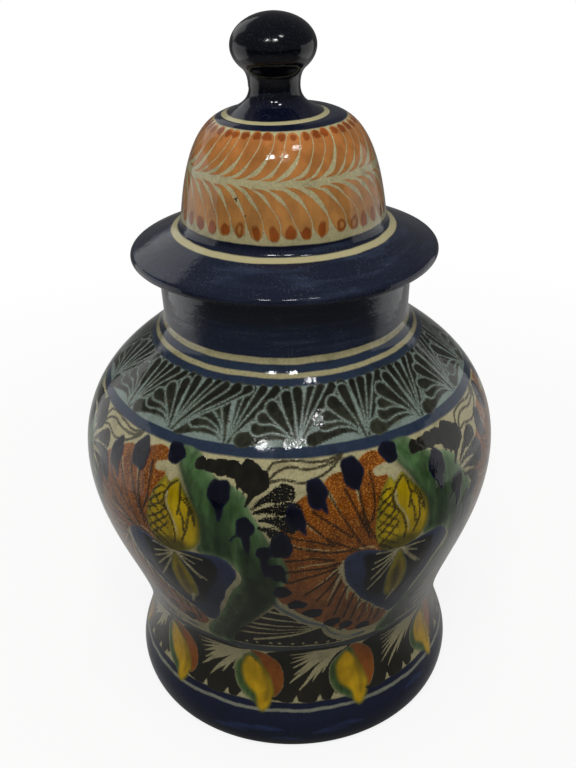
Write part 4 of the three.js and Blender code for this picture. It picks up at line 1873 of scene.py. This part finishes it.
    def lid_bell(self) -> None:
        """Build the bell, with its two rows of strokes."""
        side = respaced(self.bell_curve(self.bell_seam, 0.0), 0.5)
        socket = self.bell_seam + self.tongue + self.slip
        lining = respaced(self.bell_curve(socket, self.wall), 5.0)[::-1]
        vent, bare = self.stem_bore - self.offset, (self.bare_crown, self.crown)
        lap = self.bell_tongue + self.slip
        turned = TurnedPiece("lid_bell", [
            Run(Coat.PAINTED, np.concatenate([side, [(self.crown_ring, self.crown), bare]])),
            Run(Coat.CLAY, [bare, (vent, self.crown), (vent, self.crown - self.wall)]),
            Run(Coat.LINING, np.concatenate([[(vent, self.crown - self.wall)], lining])),
            Run(Coat.CLAY, [tuple(lining[-1]), (lap, socket), (lap, self.bell_seam),
                            tuple(side[0])]),
        ], 720, self.sway)
        band = BellBand()
        canvas = Canvas(turned.turns, turned.climbs[: len(side)], band.reach, 0.55, seed=5)
        band.paint(Brush(canvas, np.random.default_rng(8)))
        washes = {
            Pigment.ORANGE: Wash(
                srgb(160, 112, 58), srgb(156, 98, 48), srgb(150, 94, 44), 0.6, soft=0.3,
                grain=(0.15, 0.15), streak=0.1),
            Pigment.DAB: Wash(
                srgb(124, 58, 18), srgb(120, 54, 14), srgb(104, 44, 8), 0.8, soft=0.6,
                grain=(0.1, 0.1), cover=0.9),
        }
        rings = ((0, NAVY), (1.6, CREAM), (58.3, NAVY), (62, NAVY))
        glaze = PaintedGlaze("bell_glaze", rings, washes, span=(0.0, 60.0))
        piece = turned.build(self.wear(glaze))
        turned.paint(piece, canvas)
        carry(piece, "lid")

    def finial_stem(self) -> None:
        """Build the trumpet stem, bored through for the vent."""
        rise = self.stem_top - self.crown
        spread = self.stem_foot - self.stem_radius
        flare = respaced(bezier(
            (self.stem_foot, self.crown),
            (self.stem_radius + spread / 3, self.crown + rise / 4),
            (self.stem_radius, self.crown + rise / 2),
            (self.stem_radius, self.stem_top),
        ), 0.7)
        top = self.stem_top + self.tongue
        turned = TurnedPiece("finial_stem", [
            Run(Coat.PAINTED, flare),
            Run(Coat.CLAY, [tuple(flare[-1]), (self.stem_tongue, self.stem_top),
                            (self.stem_tongue, top), (self.stem_bore, top),
                            (self.stem_bore, self.crown), tuple(flare[0])]),
        ], 240, self.sway, lean=self.offset)
        glaze = CobaltGlaze("deep_navy_stem", ((0, CREAM), (3, STEM_NAVY), (17, DEEP_NAVY)),
                            thin=srgb(20, 24, 40), gloss=(0.06, 0.12))
        carry(turned.build(self.wear(glaze)), "lid")

    def ball_point(self, radius: float, half_height: float, angle: Array) -> Array:
        """Point of an upright ellipse about the knob's middle, by its angle from the bottom."""
        middle = self.top - self.knob_height / 2
        return np.stack([radius * np.sin(angle), middle - half_height * np.cos(angle)], -1)

    def finial_knob(self) -> None:
        """Build the hollow knob: its foot's throat curves out into the side of the ball."""
        half = self.knob_height / 2
        blend = math.asin(self.stem_radius / self.knob_radius) + math.radians(self.throat_spread)
        radius, level = self.ball_point(self.knob_radius, half, np.array(blend))
        lean = half * math.tan(blend) / self.knob_radius
        throat = bezier((self.stem_radius, self.stem_top),
                        (self.stem_radius, level - (radius - self.stem_radius) * lean),
                        (radius, level))
        ball = self.ball_point(self.knob_radius, half, np.linspace(blend, np.pi, 200)[1:])
        ball[-1, 0] = 0.0
        outside = respaced(np.concatenate([throat, ball]), 0.8)
        outside[-1] = (0.0, self.top)
        hollow = self.knob_radius - self.knob_wall
        angles = np.linspace(np.pi, math.asin(self.stem_bore / hollow), 14)
        inside = self.ball_point(hollow, half - self.knob_wall, angles)
        inside[0, 0] = 0.0
        high = self.stem_top + self.tongue + self.slip
        lap = self.stem_tongue + self.slip
        turned = TurnedPiece("finial_knob", [
            Run(Coat.CLAY, np.concatenate([inside, [(self.stem_bore, high), (lap, high),
                                                    (lap, self.stem_top),
                                                    (self.stem_radius, self.stem_top)]])),
            Run(Coat.PAINTED, outside),
        ], 240, self.knob_sway, lean=self.offset)
        glaze = CobaltGlaze("deep_navy_knob", ((0, DEEP_NAVY), (5, DEEP_NAVY)),
                            thin=srgb(6, 7, 17), specks=0.1, gloss=(0.10, 0.16))
        carry(turned.build(self.wear(glaze)), "lid")

    def build(self) -> None:
        """Build the five pieces from the collar up."""
        self.locating_collar()
        self.lid_brim()
        self.lid_bell()
        self.finial_stem()
        self.finial_knob()


@dataclass(frozen=True)
class PaleFloor:
    """Matt floor that the camera sees pale, and plain white far from the jar.

    Attributes:
        name: Name of the material.
        near: Distance from the jar up to which its shadow shows fully, in metres.
        far: Distance from which on the floor is plain white.
        veil: How much of the white lies over the floor near the jar.
        bounce: Share of the light that it throws back on the jar from the front.
        sheen: That share behind the jar, mirrored in the jar's sides.
    """

    name: str = "pale_floor"
    near: float = 0.20
    far: float = 0.80
    veil: float = 0.88
    bounce: float = 0.22
    sheen: float = 0.80

    def material(self) -> bpy.types.Material:
        """Make the material.

        Returns:
            The material.
        """
        shader = Shader(self.name)
        tone = shader.mix(shader.noise(0.25, 2.0), srgb(238, 237, 234), srgb(243, 242, 240))
        seen = shader.node("ShaderNodeLightPath", {}).outputs["Is Camera Ray"]
        depth = shader.node("ShaderNodeSeparateXYZ", {0: shader.place}).outputs["Y"]
        thrown = shader.step(depth, -0.10, 0.05, self.bounce, self.sheen)
        dim = shader.shade(tone, shader.math("MAXIMUM", seen, thrown))
        matt = shader.node("ShaderNodeBsdfDiffuse", {"Color": dim}).outputs[0]
        white = shader.node("ShaderNodeEmission", {"Color": WHITE}).outputs[0]
        length = shader.node("ShaderNodeVectorMath", {0: shader.place}, operation="LENGTH")
        away = shader.step(length.outputs["Value"], self.near, self.far, self.veil, 1.0)
        factor = shader.math("MULTIPLY", away, seen)
        surface = shader.node("ShaderNodeMixShader", {0: factor, 1: matt, 2: white}).outputs[0]
        shader.node("ShaderNodeOutputMaterial", {"Surface": surface})
        return shader.material


@dataclass
class Studio:
    """Pale floor, soft lamps, windows and sheets of light for the glaze to mirror, and a camera."""

    camera_back: float = 0.5417
    camera_height: float = 0.4739
    pitch: float = 27.46
    roll: float = -1.512
    focal_pixels: float = 1050.0
    long_side_pixels: float = 768.0
    sensor: float = 36.0
    floor_size: float = 6.0
    aim: Spot = (0.0, 0.0, 0.22)
    fill: float = 0.12

    def floor(self) -> None:
        """Lay the floor: a flat grid, whose points are (x, y, 0)."""
        side = np.linspace(-self.floor_size, self.floor_size, 25)
        x, y = np.meshgrid(side, side)
        points = np.stack([x, y, np.zeros_like(x)], -1).reshape(-1, 3)
        index = np.arange(x.size).reshape(x.shape)
        faces = np.stack([index[:-1, :-1], index[:-1, 1:], index[1:, 1:], index[1:, :-1]], -1)
        mesh = bpy.data.meshes.new("floor")
        mesh.from_pydata(points.tolist(), [], faces.reshape(-1, 4).tolist())
        mesh.materials.append(PaleFloor().material())
        floor = bpy.data.objects.new("floor", mesh)
        bpy.context.scene.collection.objects.link(floor)

    def lamp(self, name: str, place: Spot, size: float, power: float, mirrored: bool) -> None:
        """Hang a square softbox that faces the middle of the jar.

        Args:
            name: Name of the lamp.
            place: Where it hangs, in metres.
            size: Length of its side, in metres.
            power: Its power, in watts.
            mirrored: Whether the glaze mirrors it.
        """
        light = bpy.data.lights.new(name, "AREA")
        light.size = size
        light.energy = power
        hung = bpy.data.objects.new(name, light)
        aim = np.array(self.aim) - place
        yaw = math.atan2(aim[0], aim[1])
        tilt = math.atan2(math.hypot(aim[0], aim[1]), -aim[2])
        turned = Matrix.Rotation(-yaw, 4, "Z") @ Matrix.Rotation(tilt, 4, "X")
        hung.matrix_world = Matrix.Translation(place) @ turned
        hung.visible_camera = False
        hung.visible_glossy = mirrored
        bpy.context.scene.collection.objects.link(hung)

    def world(self) -> None:
        """Fill with dim even light, and show white behind the floor to the camera."""
        world = bpy.data.worlds.new("studio")
        bpy.context.scene.world = world
        world.use_nodes = True
        tree = world.node_tree
        tree.nodes.clear()
        seen = tree.nodes.new("ShaderNodeLightPath").outputs["Is Camera Ray"]
        strength = tree.nodes.new("ShaderNodeMapRange")
        strength.inputs["To Min"].default_value = self.fill
        strength.inputs["To Max"].default_value = 1.0
        shine = tree.nodes.new("ShaderNodeBackground")
        out = tree.nodes.new("ShaderNodeOutputWorld")
        tree.links.new(seen, strength.inputs["Value"])
        tree.links.new(strength.outputs["Result"], shine.inputs["Strength"])
        shine.inputs["Color"].default_value = WHITE
        tree.links.new(shine.outputs[0], out.inputs["Surface"])

    def camera(self) -> None:
        """Set the camera at the photograph's height, distance, pitch and slight roll."""
        data = bpy.data.cameras.new("camera")
        data.sensor_width = self.sensor
        data.lens = self.sensor * self.focal_pixels / self.long_side_pixels
        camera = bpy.data.objects.new("camera", data)
        turned = Matrix.Rotation(math.radians(90.0 - self.pitch), 4, "X")
        turned = turned @ Matrix.Rotation(math.radians(self.roll), 4, "Z")
        stand = Matrix.Translation((0.0, -self.camera_back, self.camera_height))
        camera.matrix_world = stand @ turned
        bpy.context.scene.collection.objects.link(camera)
        bpy.context.scene.camera = camera

    def build(self) -> None:
        """Set up the studio."""
        self.camera()
        self.floor()
        for name, place, size, power, mirrored in (
            ("key", (-0.05, -0.72, 1.10), 0.35, 5.6, False),
            ("overhead", (0.0, -0.05, 0.95), 0.45, 1.8, False),
            ("left_window", (-0.22, -0.70, 1.08), 0.10, 1.0, True),
            ("middle_window", (0.06, -0.70, 1.08), 0.10, 1.0, True),
            ("right_window", (0.26, -0.45, 1.20), 0.09, 0.6, True),
            ("left_sheet", (-0.55, 0.12, 0.16), 0.60, 0.8, True),
            ("right_sheet", (0.55, 0.12, 0.16), 0.60, 0.7, True),
            ("back_sheet", (-0.45, 0.60, 0.70), 0.50, 0.45, True),
        ):
            self.lamp(name, place, size, power, mirrored)
        self.world()
        bpy.context.scene.view_settings.view_transform = "Standard"


def main() -> None:
    """Build the studio, the jar and the lid, and note how big the dressed part is."""
    logging.basicConfig(level=logging.INFO, format="%(name)s %(message)s")
    Studio().build()
    coats = {Coat.LINING: LiningGlaze().material(), Coat.CLAY: BareClay().material()}
    Jar(coats).build()
    Lid(coats).build()


if __name__ == "__main__":
    main()
